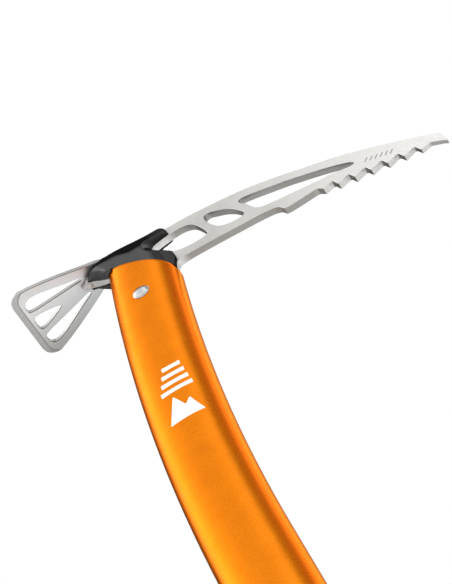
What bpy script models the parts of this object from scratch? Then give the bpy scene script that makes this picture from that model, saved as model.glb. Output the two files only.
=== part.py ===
"""Compact curved-shaft ice axe: steel head blade, welded adze, polymer head cap,
hollow aluminium shaft and a sliding hand rest. Metres, +Z up.

Frame: the straight lower shaft is parallel to Z with its foot at Z = 0. The origin
is at that level, half way between the adze's edge and the pick's tip. The pick
points to +X, the adze to -X, and the head plate lies in the XZ plane.
Sizes below are millimetres. Head pieces are drawn in the head frame, whose origin
is the head rivet, and place() moves them into the part frame. Pieces on the straight
shaft are drawn from the centre of its foot, and foot() moves those.
"""
import math

import bmesh
import bpy
from mathutils import Vector

for old in list(bpy.data.objects):
    bpy.data.objects.remove(old, do_unlink=True)

# ------------------------------------------------------------------ main sizes
OVERALL = 450.0          # nominal height
CROWN_SHORTFALL = 0.4    # the cap's crown stops this far below OVERALL
HEAD_ABOVE_RIVET = 50.6  # crown of the cap above the rivet axis
RIVET_Z = OVERALL - HEAD_ABOVE_RIVET - CROWN_SHORTFALL
AXIS_X = 11.95           # rivet axis ahead of the straight lower shaft axis
PICK_TIP_X = 138.3
ADZE_EDGE_X = -51.0
CENTRE_X = AXIS_X + (PICK_TIP_X + ADZE_EDGE_X) / 2  # origin ahead of the lower shaft axis
GAP = 0.3                # clearance between neighbouring pieces
THROUGH = 14.0           # half depth of flat cutters that pass right through shaft or cap
HOLE_LENGTH = 30.0       # length of cross-hole cutters

# ----------------------------------------------------------------------- shaft
SHAFT_HW = 15.8          # half width, pick to adze
SHAFT_HT = 8.7           # half thickness, side to side
SHAFT_WALL = 1.5
SHAFT_POWER = 2.4        # superellipse power of the section
BORE_FIT = -SHAFT_WALL - GAP  # growth of the section that fits inside the bore
BEND_START = -167.8      # shaft is straight below this level
BEND_RATE = 0.00045      # x = rate * rise^2 above it, a radius near 1.1 m
SEGMENTS = 36
SHAFT_LEVELS = [46.0, 34.0, 22.0, 10.0, -4.0, -20.0, -38.0, -58.0, -80.0, -104.0, -132.0,
                BEND_START, -RIVET_Z]

# Tube mouth seen from the side (x, z): the tube stays below this line.
MOUTH = [(-16.0, 41.6), (-9.4, 36.0), (-6.0, 32.9), (-2.8, 30.1), (0.8, 27.1),
         (4.3, 24.3), (8.4, 20.8), (12.8, 16.9), (15.3, 14.0), (17.2, 11.2),
         (18.2, 8.9), (21.0, 3.5)]

# Waste below the slanted foot (x, z from the foot), the cut rising towards the adze side.
BEVEL_SIDE = SHAFT_HW + 4.0
BEVEL = [(-BEVEL_SIDE, -6.0), (BEVEL_SIDE, -6.0), (BEVEL_SIDE, 0.0),
         (10.0, 0.0), (-BEVEL_SIDE, 31.0)]

# ------------------------------------------------------------------ head blade
# Outlines are (x, z) in the head frame.
PLATE_T = 3.4
# Spine from cap to tip.
SPINE = [(-18.6, 44.6), (-7.0, 46.6), (0.0, 47.0), (10.0, 46.3), (16.0, 45.5),
         (23.5, 44.4), (33.8, 42.8), (41.5, 40.9), (51.8, 38.1), (59.5, 35.5),
         (69.1, 31.3), (77.0, 27.3), (84.2, 23.2), (96.6, 16.5), (108.0, 9.2),
         (119.1, 1.3), (130.9, -7.7), (137.6, -13.4)]
TIP = [(138.0, -18.0), (PICK_TIP_X, -22.2), (136.8, -19.9), (132.2, -15.7)]
TOOTH_COUNT = 6
TOOTH_NOTCH = (91.3, 0.6)     # notch nearest the shaft
TOOTH_PITCH = (6.97, -2.58)
# One tooth relative to its notch, ending at the point; the steep face is towards the shaft.
TOOTH = [(-0.9, -0.15), (0.0, 0.0), (0.35, -0.8), (1.25, -4.3)]
# Lower edge from the teeth back to the tube mouth.
LOWER_EDGE = [(86.2, -0.3), (84.2, 1.9), (83.3, 2.7), (69.9, 3.3), (68.5, 4.0),
              (67.9, 5.9), (66.0, 8.1), (61.4, 9.9), (48.1, 12.6), (37.8, 14.5),
              (28.4, 16.0), (22.6, 16.6), (20.2, 16.3), (18.2, 14.6), (16.9, 12.2),
              (16.2, 9.6)]
TANG_HW = 12.8
TANG_END = -38.0
TANG_CORNER = 3.0        # corner chamfer at the tang's end
# Tang inside the tube: level on the shaft axis, offset towards the pick.
TANG = [(2.0, TANG_HW), (-18.0, TANG_HW), (TANG_END + TANG_CORNER, TANG_HW),
        (TANG_END, TANG_HW - TANG_CORNER), (TANG_END, TANG_CORNER - TANG_HW),
        (TANG_END + TANG_CORNER, -TANG_HW), (-18.0, -TANG_HW), (2.0, -TANG_HW),
        (20.0, -TANG_HW)]
TAIL_EDGE = [(-7.0, 34.6), (-7.8, 36.4), (-9.6, 36.9), (-18.6, 42.6)]

CARABINER_HOLE = [(13.0, 36.4), (15.2, 37.8), (27.4, 38.4), (31.0, 37.0), (33.4, 34.6),
                  (35.0, 30.4), (36.5, 23.2), (36.2, 21.6), (33.5, 21.0), (29.2, 21.3),
                  (24.2, 22.7), (19.5, 25.1), (15.4, 28.2), (13.0, 31.6), (12.4, 34.2)]
LEAF_HOLE = [(38.8, 33.0), (39.4, 35.3), (41.2, 35.8), (45.1, 33.2), (48.2, 30.6),
             (51.0, 27.0), (53.1, 22.8), (54.1, 19.6), (53.4, 18.0), (50.2, 17.7),
             (46.4, 18.7), (42.9, 20.8), (40.6, 24.4), (39.2, 29.0)]
BLADE_SLOT = [(55.0, 28.6), (55.6, 30.3), (57.4, 30.4), (61.3, 28.9), (69.4, 25.2),
              (76.7, 21.7), (82.6, 18.4), (89.0, 14.7), (94.6, 11.2), (99.0, 8.0),
              (102.6, 4.8), (103.3, 3.0), (101.8, 2.5), (97.5, 3.9), (92.6, 5.7),
              (85.8, 7.4), (79.6, 9.2), (72.3, 11.4), (65.0, 13.7), (61.4, 15.3),
              (59.5, 17.2), (58.3, 20.0), (57.0, 24.0)]
# Ground face near the tip: x, z, half thickness left.
TIP_GRIND = [(118.0, 14.0, PLATE_T / 2), (112.0, -12.0, PLATE_T / 2),
             (142.0, -34.0, 1.0), (146.0, -6.0, 1.0)]
GRIND_LIFT = 0.02        # keeps the cutter's start clear of the plate face
GRIND_OUT = 6.0          # outer side of the grinding cutter

# -------------------------------------------------------------- adze and weld
ADZE_T = 2.4
ADZE_SLOPE = 0.18        # drop of the adze towards its edge
ADZE_ROOT = (-18.0, 46.2)     # x, z on the middle of the sheet
# Plan shapes are (x, y); ADZE_PLAN and ADZE_SIDE_WINDOW are drawn for +Y only.
ADZE_PLAN = [(-7.2, 3.0), (-9.0, 5.0), (-16.4, 8.0), (-27.2, 12.1), (-36.6, 15.3),
             (-43.2, 17.1), (-46.4, 17.5), (-48.6, 16.7), (-50.3, 14.8), (ADZE_EDGE_X, 12.2)]
ADZE_SIDE_WINDOW = [(-20.0, 3.7), (-19.9, 4.4), (-26.0, 6.9), (-34.0, 10.0), (-40.0, 12.1),
                    (-43.6, 12.5), (-45.6, 11.4), (-46.4, 9.4), (-46.1, 7.2), (-44.6, 6.5),
                    (-34.0, 5.1), (-26.0, 4.2)]
ADZE_MID_WINDOW = [(-33.6, 0.0), (-34.4, -0.7), (-45.0, -3.4), (-46.2, -2.6), (-46.5, 0.0),
                   (-46.2, 2.6), (-45.0, 3.4), (-34.4, 0.7)]
# Waste below the ground cutting edge: x, height above the middle of the sheet.
ADZE_GRIND = [(-47.6, -1.35), (-56.0, 3.6), (-60.0, -8.0), (-47.6, -8.0)]

WELD_X, WELD_Z = -19.9, 42.9
WELD_RADII = (2.5, 2.5, 2.4)
WELD_BELOW_ADZE = 1.55   # top of the weld below the middle of the adze sheet

# -------------------------------------------------------------------- head cap
# Crown line (x, z) and greatest half width (x, y) along the head.
CAP_CROWN = [(-18.3, 44.1), (-15.0, 44.7), (-12.6, 45.3), (-11.7, 48.6), (-9.0, 50.1),
             (-3.0, HEAD_ABOVE_RIVET), (4.0, 49.9), (12.0, 48.4), (18.0, 46.9), (21.4, 45.7),
             (22.9, 44.6)]
CAP_HALF = [(-18.3, 2.7), (-15.0, 4.4), (-12.6, 6.0), (-10.5, 7.0), (-4.0, 7.3),
            (8.0, 7.2), (14.0, 6.4), (18.0, 5.2), (21.4, 4.3), (22.9, 3.4)]
CAP_NOTCH = [(40.0, 4.0), (18.4, 10.6), (18.7, 12.4), (20.4, 18.6), (20.4, 21.6),
             (19.6, 23.2), (16.4, 27.0), (13.8, 28.9), (12.8, 31.6), (12.9, 34.8),
             (14.0, 36.5), (21.8, 37.3), (40.0, 37.8)]
CAP_STATIONS = [-18.3, -16.8, -15.2, -13.6, -12.6, -12.1, -11.6, -10.2, -8.8, -7.4, -5.6,
                -3.4, -1.0, 1.5, 4.0, 6.5, 9.0, 11.2, 13.2, 15.0, 16.6, 18.2, 19.8, 21.2,
                22.3, 22.9]
CAP_STEPS = 10           # steps from the bottom of a station to the crown
CAP_EDGE = 3.1           # half width at the cap's free edges
CAP_SWELL = 6.5          # distance from an edge at which full width is reached
CAP_MIN_HALF = 0.35      # half width left along the crown line
CAP_SHOULDER = 41.0      # level where the crown starts to round over
CAP_CROWN_MIN = 4.0      # least height of that rounding
CAP_LOWEST_LIP = 10.4
SKIRT_SPAN = (-8.0, 15.5)     # stations with a skirt inside the mouth
SKIRT_DEPTH = 3.2
LIP_RISE = 0.5           # bottom of the other stations above the mouth line
LIP_SLANT = 0.76         # height above the slanted mouth to distance from it
POCKET_RISE = 0.4        # pocket above the blade's spine

# ------------------------------------------------- spacers, rivet, plug, eyelet
SPACER_LEVELS = (4.0, -8.0, -24.0, -44.0)

REVOLVE_STEPS = 28
SEAT_Y = SHAFT_HT + GAP  # underside of the rivet head and eyelet flange
RIVET_R = 3.2
RIVET_HEAD_R = 3.85
# Half profiles: radius, height above the seat.
RIVET_PROFILE = [(0.0, 1.15), (1.3, 1.1), (2.6, 0.85), (3.5, 0.42),
                 (RIVET_HEAD_R, 0.0), (RIVET_R, 0.0)]
EYELET_X, EYELET_Z = 3.0, 20.0
EYELET_R = 4.0           # outside of the eyelet's tube
EYELET_PROFILE = [(3.3, 0.8), (5.6, 0.5), (5.8, 0.0), (EYELET_R, 0.0)]

PLUG_BOTTOM, PLUG_TOP = -2.0, 36.0
PLUG_BEVEL_RISE = 0.35   # plug's slanted end above the tube's
PIN_Z = 31.0
PIN_R = 1.5
PIN_PROUD = 0.1          # each end beyond the shaft's side

# ------------------------------------------------------------------- hand rest
REST_Z = 105.0           # middle level
REST_H = 20.0
LINER_T = 1.0
REST_WALL = 2.4
REST_CHAMFER = 0.8
LINER_OUT = GAP + LINER_T     # liner's outside, off the shaft surface
BODY_IN = LINER_OUT + GAP     # body's inside, off the shaft surface
HOOK_INSET = 0.8         # hook's root beyond the body's inside
# Hook on the pick side: x from its root, z from REST_Z.
HOOK = [(0.0, 8.6), (4.5, 7.2), (11.0, 2.6), (17.5, -3.6), (20.5, -8.6), (20.2, -11.4),
        (18.0, -12.2), (15.4, -10.0), (11.6, -6.6), (6.6, -5.2), (3.0, -6.6), (0.0, -8.8)]
# "OUT" is the centre's distance beyond the body's inside, on the adze side.
BOSS_OUT, BOSS_SIZE = 3.4, (6.4, 11.0, 12.0)
NUT_OUT, NUT_R, NUT_T = 3.6, 3.75, 2.2
NUT_SLOT_RISE, NUT_SLOT_SIZE = 3.0, (2.8, 8.2, 14.4)
SCREW_R = 2.0


# ------------------------------------------------------------ frames and curves
def place(x, y, z):
    """Head-frame millimetres to part-frame metres."""
    return Vector(((x + AXIS_X - CENTRE_X) / 1000.0, y / 1000.0, (z + RIVET_Z) / 1000.0))


def foot(x, y, z):
    """Millimetres from the foot of the straight shaft to part-frame metres."""
    return Vector(((x - CENTRE_X) / 1000.0, y / 1000.0, z / 1000.0))


def adze_level(x):
    """Height of the middle of the sloping adze sheet."""
    return ADZE_ROOT[1] + ADZE_SLOPE * (x - ADZE_ROOT[0])


def lay_head(co):
    """Curve plane to the head plate's plane."""
    return place(co.x * 1000.0, -co.z * 1000.0, co.y * 1000.0)


def lay_foot(co):
    """Curve plane to the same upright plane, measured from the foot."""
    return foot(co.x * 1000.0, -co.z * 1000.0, co.y * 1000.0)


def lay_adze(co):
    """Curve plane to the sloping adze sheet."""
    x, y, rise = co.x * 1000.0, co.y * 1000.0, co.z * 1000.0
    return place(x, y, adze_level(x) + rise * math.hypot(1.0, ADZE_SLOPE))


def interpolate(table, x):
    """Linear value at x, held constant beyond the table's ends."""
    if x <= table[0][0]:
        return table[0][1]
    for (x0, v0), (x1, v1) in zip(table, table[1:]):
        if x <= x1:
            t = (x - x0) / (x1 - x0)
            return v0 + (v1 - v0) * t
    return table[-1][1]


def on_axis(level, along, side):
    """Head-frame point on the section square to the curved shaft axis at a level."""
    rise = max(0.0, level - BEND_START)
    slope = 2.0 * BEND_RATE * rise
    length = math.hypot(1.0, slope)
    return (-AXIS_X + BEND_RATE * rise * rise + along / length, side,
            level - along * slope / length)


def superellipse(half_width, half_thickness, angle):
    c, s = math.cos(angle), math.sin(angle)
    return (half_width * math.copysign(abs(c) ** (2.0 / SHAFT_POWER), c),
            half_thickness * math.copysign(abs(s) ** (2.0 / SHAFT_POWER), s))


def section(grow):
    """Shaft section grown by a distance."""
    return [superellipse(SHAFT_HW + grow, SHAFT_HT + grow, 2.0 * math.pi * i / SEGMENTS)
            for i in range(SEGMENTS)]


def shaft_rings(levels, grow):
    return [[place(*on_axis(z, x, y)) for x, y in section(grow)] for z in levels]


def foot_ring(z, grow):
    return [foot(x, y, z) for x, y in section(grow)]


def raised(outline, rise):
    return [(x, z + rise) for x, z in outline]


def mirrored(half):
    """Close a half outline with its mirror image."""
    return half + [(a, -b) for a, b in reversed(half)]


def above_mouth(line_rise=0.0, end_rise=0.0):
    """Region above the tube's mouth line."""
    return raised(MOUTH, line_rise) + [(40.0, 3.0 + end_rise), (40.0, 80.0), (-30.0, 80.0),
                                       (-30.0, 42.0 + end_rise)]


# ------------------------------------------------------------------- materials
def material(name, colour, roughness, metallic):
    mat = bpy.data.materials.new(name)
    mat.use_nodes = True
    shader = mat.node_tree.nodes["Principled BSDF"]
    shader.inputs["Base Color"].default_value = (*colour, 1.0)
    shader.inputs["Roughness"].default_value = roughness
    shader.inputs["Metallic"].default_value = metallic
    return mat


STEEL = material("satin_steel", colour=(0.60, 0.59, 0.57), roughness=0.35, metallic=1.0)
WELD = material("weld_steel", colour=(0.50, 0.45, 0.43), roughness=0.45, metallic=1.0)
ORANGE = material("orange_anodised", colour=(0.86, 0.27, 0.02), roughness=0.38, metallic=0.7)
BLACK = material("black_polymer", colour=(0.022, 0.022, 0.024), roughness=0.5, metallic=0.0)
RUBBER = material("elastomer", colour=(0.03, 0.03, 0.03), roughness=0.8, metallic=0.0)
BRIGHT = material("bright_steel", colour=(0.75, 0.75, 0.76), roughness=0.22, metallic=1.0)

axe = bpy.data.collections.new("ice_axe")
cutters = bpy.data.collections.new("cutters")
bpy.context.scene.collection.children.link(axe)
bpy.context.scene.collection.children.link(cutters)


# --------------------------------------------------------------- mesh builders
# A piece made without a material is a hidden helper for booleans.
def finish(name, bm, mat=None):
    bmesh.ops.recalc_face_normals(bm, faces=bm.faces[:])
    mesh = bpy.data.meshes.new(name)
    bm.to_mesh(mesh)
    bm.free()
    obj = bpy.data.objects.new(name, mesh)
    if mat:
        mesh.materials.append(mat)
        axe.objects.link(obj)
    else:
        obj.hide_render = True
        obj.display_type = "WIRE"
        cutters.objects.link(obj)
    return obj


def flat_piece(name, outline, half, lay, holes=(), mat=None):
    """A flat outline with holes, extruded by half its thickness each way."""
    curve = bpy.data.curves.new(name, "CURVE")
    curve.dimensions = "2D"
    curve.fill_mode = "BOTH"
    curve.extrude = half / 1000.0
    for ring in [outline, *holes]:
        spline = curve.splines.new("POLY")
        spline.points.add(len(ring) - 1)
        for point, (x, y) in zip(spline.points, ring):
            point.co = (x / 1000.0, y / 1000.0, 0.0, 1.0)
        spline.use_cyclic_u = True
    carrier = bpy.data.objects.new(name + "_curve", curve)
    axe.objects.link(carrier)
    bpy.context.view_layer.update()
    flat = bpy.data.meshes.new_from_object(
        carrier.evaluated_get(bpy.context.evaluated_depsgraph_get()))
    bpy.data.objects.remove(carrier, do_unlink=True)
    bm = bmesh.new()
    bm.from_mesh(flat)
    bpy.data.meshes.remove(flat)
    bmesh.ops.remove_doubles(bm, verts=bm.verts[:], dist=2e-6)
    for vert in bm.verts:
        vert.co = lay(vert.co)
    return finish(name, bm, mat)


def bridge(bm, first, second):
    """Faces between two closed rows; a row of one vertex is a pole."""
    count = max(len(first), len(second))
    for i in range(count):
        j = (i + 1) % count
        corners = (first[i % len(first)], first[j % len(first)],
                   second[j % len(second)], second[i % len(second)])
        bm.faces.new(tuple(dict.fromkeys(corners)))


def skin(bm, rings):
    rows = [[bm.verts.new(point) for point in ring] for ring in rings]
    for first, second in zip(rows, rows[1:]):
        bridge(bm, first, second)
    return rows


def loft(name, rings, mat=None, inner=None):
    """Skin a stack of closed rings; with inner rings it becomes a tube wall."""
    bm = bmesh.new()
    outside = skin(bm, rings)
    if inner is None:
        bm.faces.new(outside[0])
        bm.faces.new(outside[-1])
    else:
        inside = skin(bm, inner)
        bridge(bm, outside[0], inside[0])
        bridge(bm, outside[-1], inside[-1])
    return finish(name, bm, mat)


def revolve(name, profile, frame, centre_x, centre_z, closed=False):
    """Turn a half profile, mirrored to the far side of the shaft, about a Y axis."""
    rings = []
    for radius, y in mirrored([(radius, -SEAT_Y - height) for radius, height in profile]):
        steps = REVOLVE_STEPS if radius else 1
        angles = [2 * math.pi * i / REVOLVE_STEPS for i in range(steps)]
        rings.append([frame(centre_x + radius * math.cos(a), y, centre_z + radius * math.sin(a))
                      for a in angles])
    bm = bmesh.new()
    rows = skin(bm, rings)
    if closed:
        bridge(bm, rows[-1], rows[0])
    return finish(name, bm, BRIGHT)


def cylinder(name, centre, radius, length, axis="Y", segments=24, mat=None):
    bm = bmesh.new()
    bmesh.ops.create_cone(bm, cap_ends=True, segments=segments, radius1=radius / 1000.0,
                          radius2=radius / 1000.0, depth=length / 1000.0)
    for vert in bm.verts:
        x, y, z = vert.co
        vert.co = Vector((x, z, -y) if axis == "Y" else (z, y, -x)) + centre
    return finish(name, bm, mat)


def box(name, centre, size):
    bm = bmesh.new()
    bmesh.ops.create_cube(bm, size=1.0)
    for vert in bm.verts:
        vert.co = Vector([c * s for c, s in zip(vert.co, size)]) / 1000.0 + centre
    return finish(name, bm)


def boolean(obj, other, operation="DIFFERENCE"):
    modifier = obj.modifiers.new(operation.lower(), "BOOLEAN")
    modifier.operation = operation
    modifier.object = other
    modifier.solver = "EXACT"


# ---------------------------------------------------------------------- pieces
def build_shaft(holes):
    shaft = loft("shaft_tube", shaft_rings(SHAFT_LEVELS, 0.0), ORANGE,
                 inner=shaft_rings(SHAFT_LEVELS, -SHAFT_WALL))
    boolean(shaft, flat_piece("cut_mouth", above_mouth(), THROUGH, lay_head))
    boolean(shaft, flat_piece("cut_bevel", BEVEL, THROUGH, lay_foot))
    for hole in holes:
        boolean(shaft, hole)


def build_blade():
    teeth = [(TOOTH_NOTCH[0] + k * TOOTH_PITCH[0] + x, TOOTH_NOTCH[1] + k * TOOTH_PITCH[1] + z)
             for k in range(TOOTH_COUNT) for x, z in TOOTH]
    teeth.reverse()
    tang = [on_axis(level, along, 0.0)[0::2] for level, along in TANG]
    radius = RIVET_R + GAP
    rivet_ring = [(radius * math.cos(math.pi * i / 12), radius * math.sin(math.pi * i / 12))
                  for i in range(24)]
    blade = flat_piece("head_blade", SPINE + TIP + teeth + LOWER_EDGE + tang + TAIL_EDGE,
                       PLATE_T / 2, lay_head,
                       holes=[CARABINER_HOLE, LEAF_HOLE, BLADE_SLOT, rivet_ring], mat=STEEL)
    # The last part of the pick is ground thinner on both sides.
    for side, name in ((-1, "cut_tip_near"), (1, "cut_tip_far")):
        face = [place(x, side * (y + GRIND_LIFT), z) for x, z, y in TIP_GRIND]
        back = [place(x, side * GRIND_OUT, z) for x, z, _ in TIP_GRIND]
        boolean(blade, loft(name, [face, back]))


def build_adze():
    far_window = [(x, -y) for x, y in ADZE_SIDE_WINDOW]
    adze = flat_piece("adze_plate", mirrored(ADZE_PLAN), ADZE_T / 2, lay_adze,
                      holes=[ADZE_SIDE_WINDOW, far_window, ADZE_MID_WINDOW], mat=STEEL)
    # Cutting edge ground from below.
    waste = [(x, adze_level(x) + rise) for x, rise in ADZE_GRIND]
    boolean(adze, flat_piece("cut_adze_edge", waste, half=30.0, lay=lay_head))


def build_weld():
    bm = bmesh.new()
    bmesh.ops.create_uvsphere(bm, u_segments=16, v_segments=10, radius=1.0)
    for vert in bm.verts:
        x, y, z = (c * radius for c, radius in zip(vert.co, WELD_RADII))
        vert.co = place(WELD_X + x, y, WELD_Z + z)
    weld = finish("adze_weld", bm, WELD)
    # Trimmed clear of the blade's tail, the adze sheet and the cap, in that order.
    boolean(weld, box("cut_weld_tail", place(-8.9, 0, 42.0), (20.0, PLATE_T + 2 * GAP, 14.0)))
    lid = [(x, adze_level(x) - WELD_BELOW_ADZE) for x in (-30.0, -10.0)]
    lid += [(-10.0, 60.0), (-30.0, 60.0)]
    boolean(weld, flat_piece("cut_weld_lid", lid, half=12.0, lay=lay_head))
    boolean(weld, box("cut_weld_back", place(-9.0, 0, 42.0), (18.6, 12.0, 14.0)))


def cap_edge_distance(x, z):
    """Distance from the cap's free edges: the notch line and the lip on the adze side."""
    best = 99.0
    for (x0, z0), (x1, z1) in zip(CAP_NOTCH, CAP_NOTCH[1:]):
        dx, dz = x1 - x0, z1 - z0
        t = max(0.0, min(1.0, ((x - x0) * dx + (z - z0) * dz) / (dx * dx + dz * dz)))
        best = min(best, math.hypot(x - x0 - t * dx, z - z0 - t * dz))
    if x < -8.0:
        best = min(best, (z - interpolate(MOUTH, x)) * LIP_SLANT + max(0.0, x + 11.0))
    return best


def cap_half(x, z):
    """Half width of the cap: thin at free edges, swelling inwards, rounded at the crown."""
    top = interpolate(CAP_CROWN, x)
    full = interpolate(CAP_HALF, x)
    inward = min(1.0, max(0.0, cap_edge_distance(x, z)) / CAP_SWELL)
    swell = math.sqrt(max(0.0, 1.0 - (1.0 - inward) ** 2))
    edge = min(CAP_EDGE, full)
    half = edge + (full - edge) * swell
    base = min(CAP_SHOULDER, top - CAP_CROWN_MIN)
    if z > base:
        t = min(1.0, (z - base) / (top - base))
        half *= math.sqrt(max(0.0, 1.0 - t * t))
    return max(half, CAP_MIN_HALF)


def cap_ring(x):
    lip = max(interpolate(MOUTH, x), CAP_LOWEST_LIP)
    top = interpolate(CAP_CROWN, x)
    low = lip - SKIRT_DEPTH if SKIRT_SPAN[0] < x < SKIRT_SPAN[1] else lip + LIP_RISE
    levels = [low + (top - low) * math.sin(0.5 * math.pi * k / CAP_STEPS)
              for k in range(CAP_STEPS + 1)]
    near = [(-cap_half(x, z), z) for z in levels]
    far = [(-y, z) for y, z in reversed(near)]
    return [place(x, y, z) for y, z in near + far]


def build_cap():
    cap = loft("head_cap", [cap_ring(x) for x in CAP_STATIONS], BLACK)
    # The tube's wall, grown by the clearance, so the skirt drops inside the mouth.
    levels = SHAFT_LEVELS[:6]
    wall = loft("cut_cap_wall", shaft_rings(levels, 5.0), inner=shaft_rings(levels, BORE_FIT))
    boolean(wall, flat_piece("cut_mouth_raised", above_mouth(line_rise=0.4, end_rise=0.5),
                             half=18.0, lay=lay_head))
    boolean(cap, wall)
    boolean(cap, flat_piece("cut_cap_notch", CAP_NOTCH, THROUGH, lay_head))
    # Slot for the adze's root, wider than the sheet all round.
    slot = [(x + (0.5 if x > -8 else 0.0), y + 0.35) for x, y in ADZE_PLAN[:5]]
    boolean(cap, flat_piece("cut_cap_adze", mirrored(slot), ADZE_T / 2 + GAP, lay_adze))
    # Pocket for the blade, following its spine.
    pocket = [(-26.0, 43.3), *raised(SPINE[:6], POCKET_RISE),
              (30.0, 43.8), (30.0, -20.0), (-26.0, -20.0)]
    boolean(cap, flat_piece("cut_cap_pocket", pocket, PLATE_T / 2 + GAP, lay_head))


def build_spacers(rivet_hole):
    """Fillers between the tang and the bore, flat against each side of the plate."""
    half_width, half_thickness = SHAFT_HW + BORE_FIT, SHAFT_HT + BORE_FIT
    flat = PLATE_T / 2 + GAP
    start = math.asin((flat / half_thickness) ** (SHAFT_POWER / 2.0))
    count = SEGMENTS // 2
    arc = [superellipse(half_width, half_thickness, start + (math.pi - 2 * start) * i / count)
           for i in range(count + 1)]
    for side, name in ((-1.0, "tang_spacer_left"), (1.0, "tang_spacer_right")):
        rings = [[place(*on_axis(z, x, side * y)) for x, y in arc] for z in SPACER_LEVELS]
        boolean(loft(name, rings, BLACK), rivet_hole)


def build_foot(holes):
    """Plug in the shaft's foot, with its cross pin."""
    plug = loft("foot_plug", [foot_ring(z, BORE_FIT) for z in (PLUG_BOTTOM, PLUG_TOP)], BLACK)
    boolean(plug, flat_piece("cut_plug_bevel", raised(BEVEL, PLUG_BEVEL_RISE), THROUGH,
                             lay_foot))
    for hole in holes:
        boolean(plug, hole)
    cylinder("foot_plug_pin", foot(0.0, 0, PIN_Z), PIN_R, 2 * (SHAFT_HT + PIN_PROUD),
             segments=16, mat=BRIGHT)


# ------------------------------------------------------------- hand rest pieces
def rest_point(out, rise=0.0):
    """Point beyond the body's inside on the adze side."""
    return foot(-SHAFT_HW - BODY_IN - out, 0, REST_Z + rise)


def rest_cylinder(name, out, radius, length, segments=20, mat=None):
    return cylinder(name, rest_point(out), radius, length, "X", segments, mat)


def sleeve(name, inside, outside, mat, chamfer=0.0):
    """Band round the straight shaft, its faces given as distances off the surface."""
    bottom, top = REST_Z - REST_H / 2, REST_Z + REST_H / 2
    stations = [(outside, bottom + chamfer), (outside, top - chamfer)]
    if chamfer:
        stations = [(outside - chamfer, bottom), *stations, (outside - chamfer, top)]
    return loft(name, [foot_ring(z, grow) for grow, z in stations], mat,
                inner=[foot_ring(z, inside) for _, z in stations])


def build_rest_body():
    body = sleeve("rest_body", BODY_IN, BODY_IN + REST_WALL, BLACK, chamfer=REST_CHAMFER)
    root = SHAFT_HW + BODY_IN + HOOK_INSET
    hook = [(root + x, REST_Z + z) for x, z in HOOK]
    boolean(body, flat_piece("cut_hook", hook, half=6.0, lay=lay_foot), "UNION")
    boolean(body, box("cut_boss", rest_point(BOSS_OUT), BOSS_SIZE), "UNION")
    boolean(body, rest_cylinder("cut_screw_hole", out=4.0, radius=SCREW_R + GAP, length=12.0))
    boolean(body, box("cut_nut_slot", rest_point(NUT_OUT, NUT_SLOT_RISE), NUT_SLOT_SIZE))


def build_rest_fastener():
    nut = rest_cylinder("rest_nut", NUT_OUT, NUT_R, NUT_T, segments=6, mat=BRIGHT)
    boolean(nut, rest_cylinder("cut_nut_bore", NUT_OUT, SCREW_R + GAP, length=8.0))
    screw = rest_cylinder("rest_screw", out=3.2, radius=SCREW_R, length=6.4, mat=BRIGHT)
    boolean(screw, rest_cylinder("cut_screw_neck", out=6.4, radius=SCREW_R, length=2.4), "UNION")
    boolean(screw, rest_cylinder("cut_screw_head", out=8.2, radius=3.6, length=2.6), "UNION")
    boolean(screw, rest_cylinder("cut_screw_socket", out=9.0, radius=1.6, length=2.4,
                                 segments=6))


# -------------------------------------------------------------------- assembly
rivet_cut = cylinder("cut_rivet_hole", place(0, 0, 0), RIVET_R + GAP, HOLE_LENGTH)
eyelet_cut = cylinder("cut_eyelet_hole", foot(EYELET_X, 0, EYELET_Z), EYELET_R + GAP,
                      HOLE_LENGTH)
pin_cut = cylinder("cut_pin_hole", foot(0.0, 0, PIN_Z), PIN_R + GAP, HOLE_LENGTH, segments=16)

build_shaft([rivet_cut, eyelet_cut, pin_cut])
build_blade()
build_adze()
build_weld()
build_cap()
build_spacers(rivet_cut)
revolve("head_rivet", RIVET_PROFILE, place, 0.0, 0.0)
build_foot([eyelet_cut, pin_cut])
# The leash eyelet is a flanged tube through both walls.
revolve("leash_eyelet", EYELET_PROFILE, foot, EYELET_X, EYELET_Z, closed=True)
sleeve("rest_liner", GAP, LINER_OUT, RUBBER)
build_rest_body()
build_rest_fastener()

for piece in axe.objects:
    piece.data.shade_smooth()
    piece.data.set_sharp_from_angle(angle=math.radians(30))
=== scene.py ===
"""An ice axe: bent oval shaft, steel head with toothed pick and adze, cap and hand rest.

Design values are in mm. The pick points to +X, the adze to -X, and the near side is -Y.
Head frame: from the head rivet, +Z up the shaft. Foot frame: x from the axis of the
shaft's straight part, z from the foot. place() and foot() turn them into world metres.
"""
import math
from functools import cache

import bmesh
import bpy
import numpy as np
from mathutils import Matrix, Vector
from mathutils.geometry import delaunay_2d_cdt


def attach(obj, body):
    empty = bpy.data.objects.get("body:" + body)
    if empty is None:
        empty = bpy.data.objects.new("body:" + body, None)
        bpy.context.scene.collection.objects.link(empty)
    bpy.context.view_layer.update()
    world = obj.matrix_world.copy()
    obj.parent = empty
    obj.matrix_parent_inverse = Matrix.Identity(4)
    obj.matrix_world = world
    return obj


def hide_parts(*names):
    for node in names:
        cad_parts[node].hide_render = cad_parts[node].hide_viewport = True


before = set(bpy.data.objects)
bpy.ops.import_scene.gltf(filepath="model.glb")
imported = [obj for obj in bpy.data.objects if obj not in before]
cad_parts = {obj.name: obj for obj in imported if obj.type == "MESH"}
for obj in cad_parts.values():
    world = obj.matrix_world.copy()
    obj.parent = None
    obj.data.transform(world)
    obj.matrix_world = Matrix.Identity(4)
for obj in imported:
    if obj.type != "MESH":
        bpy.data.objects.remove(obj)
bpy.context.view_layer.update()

scene = bpy.context.scene

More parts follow.
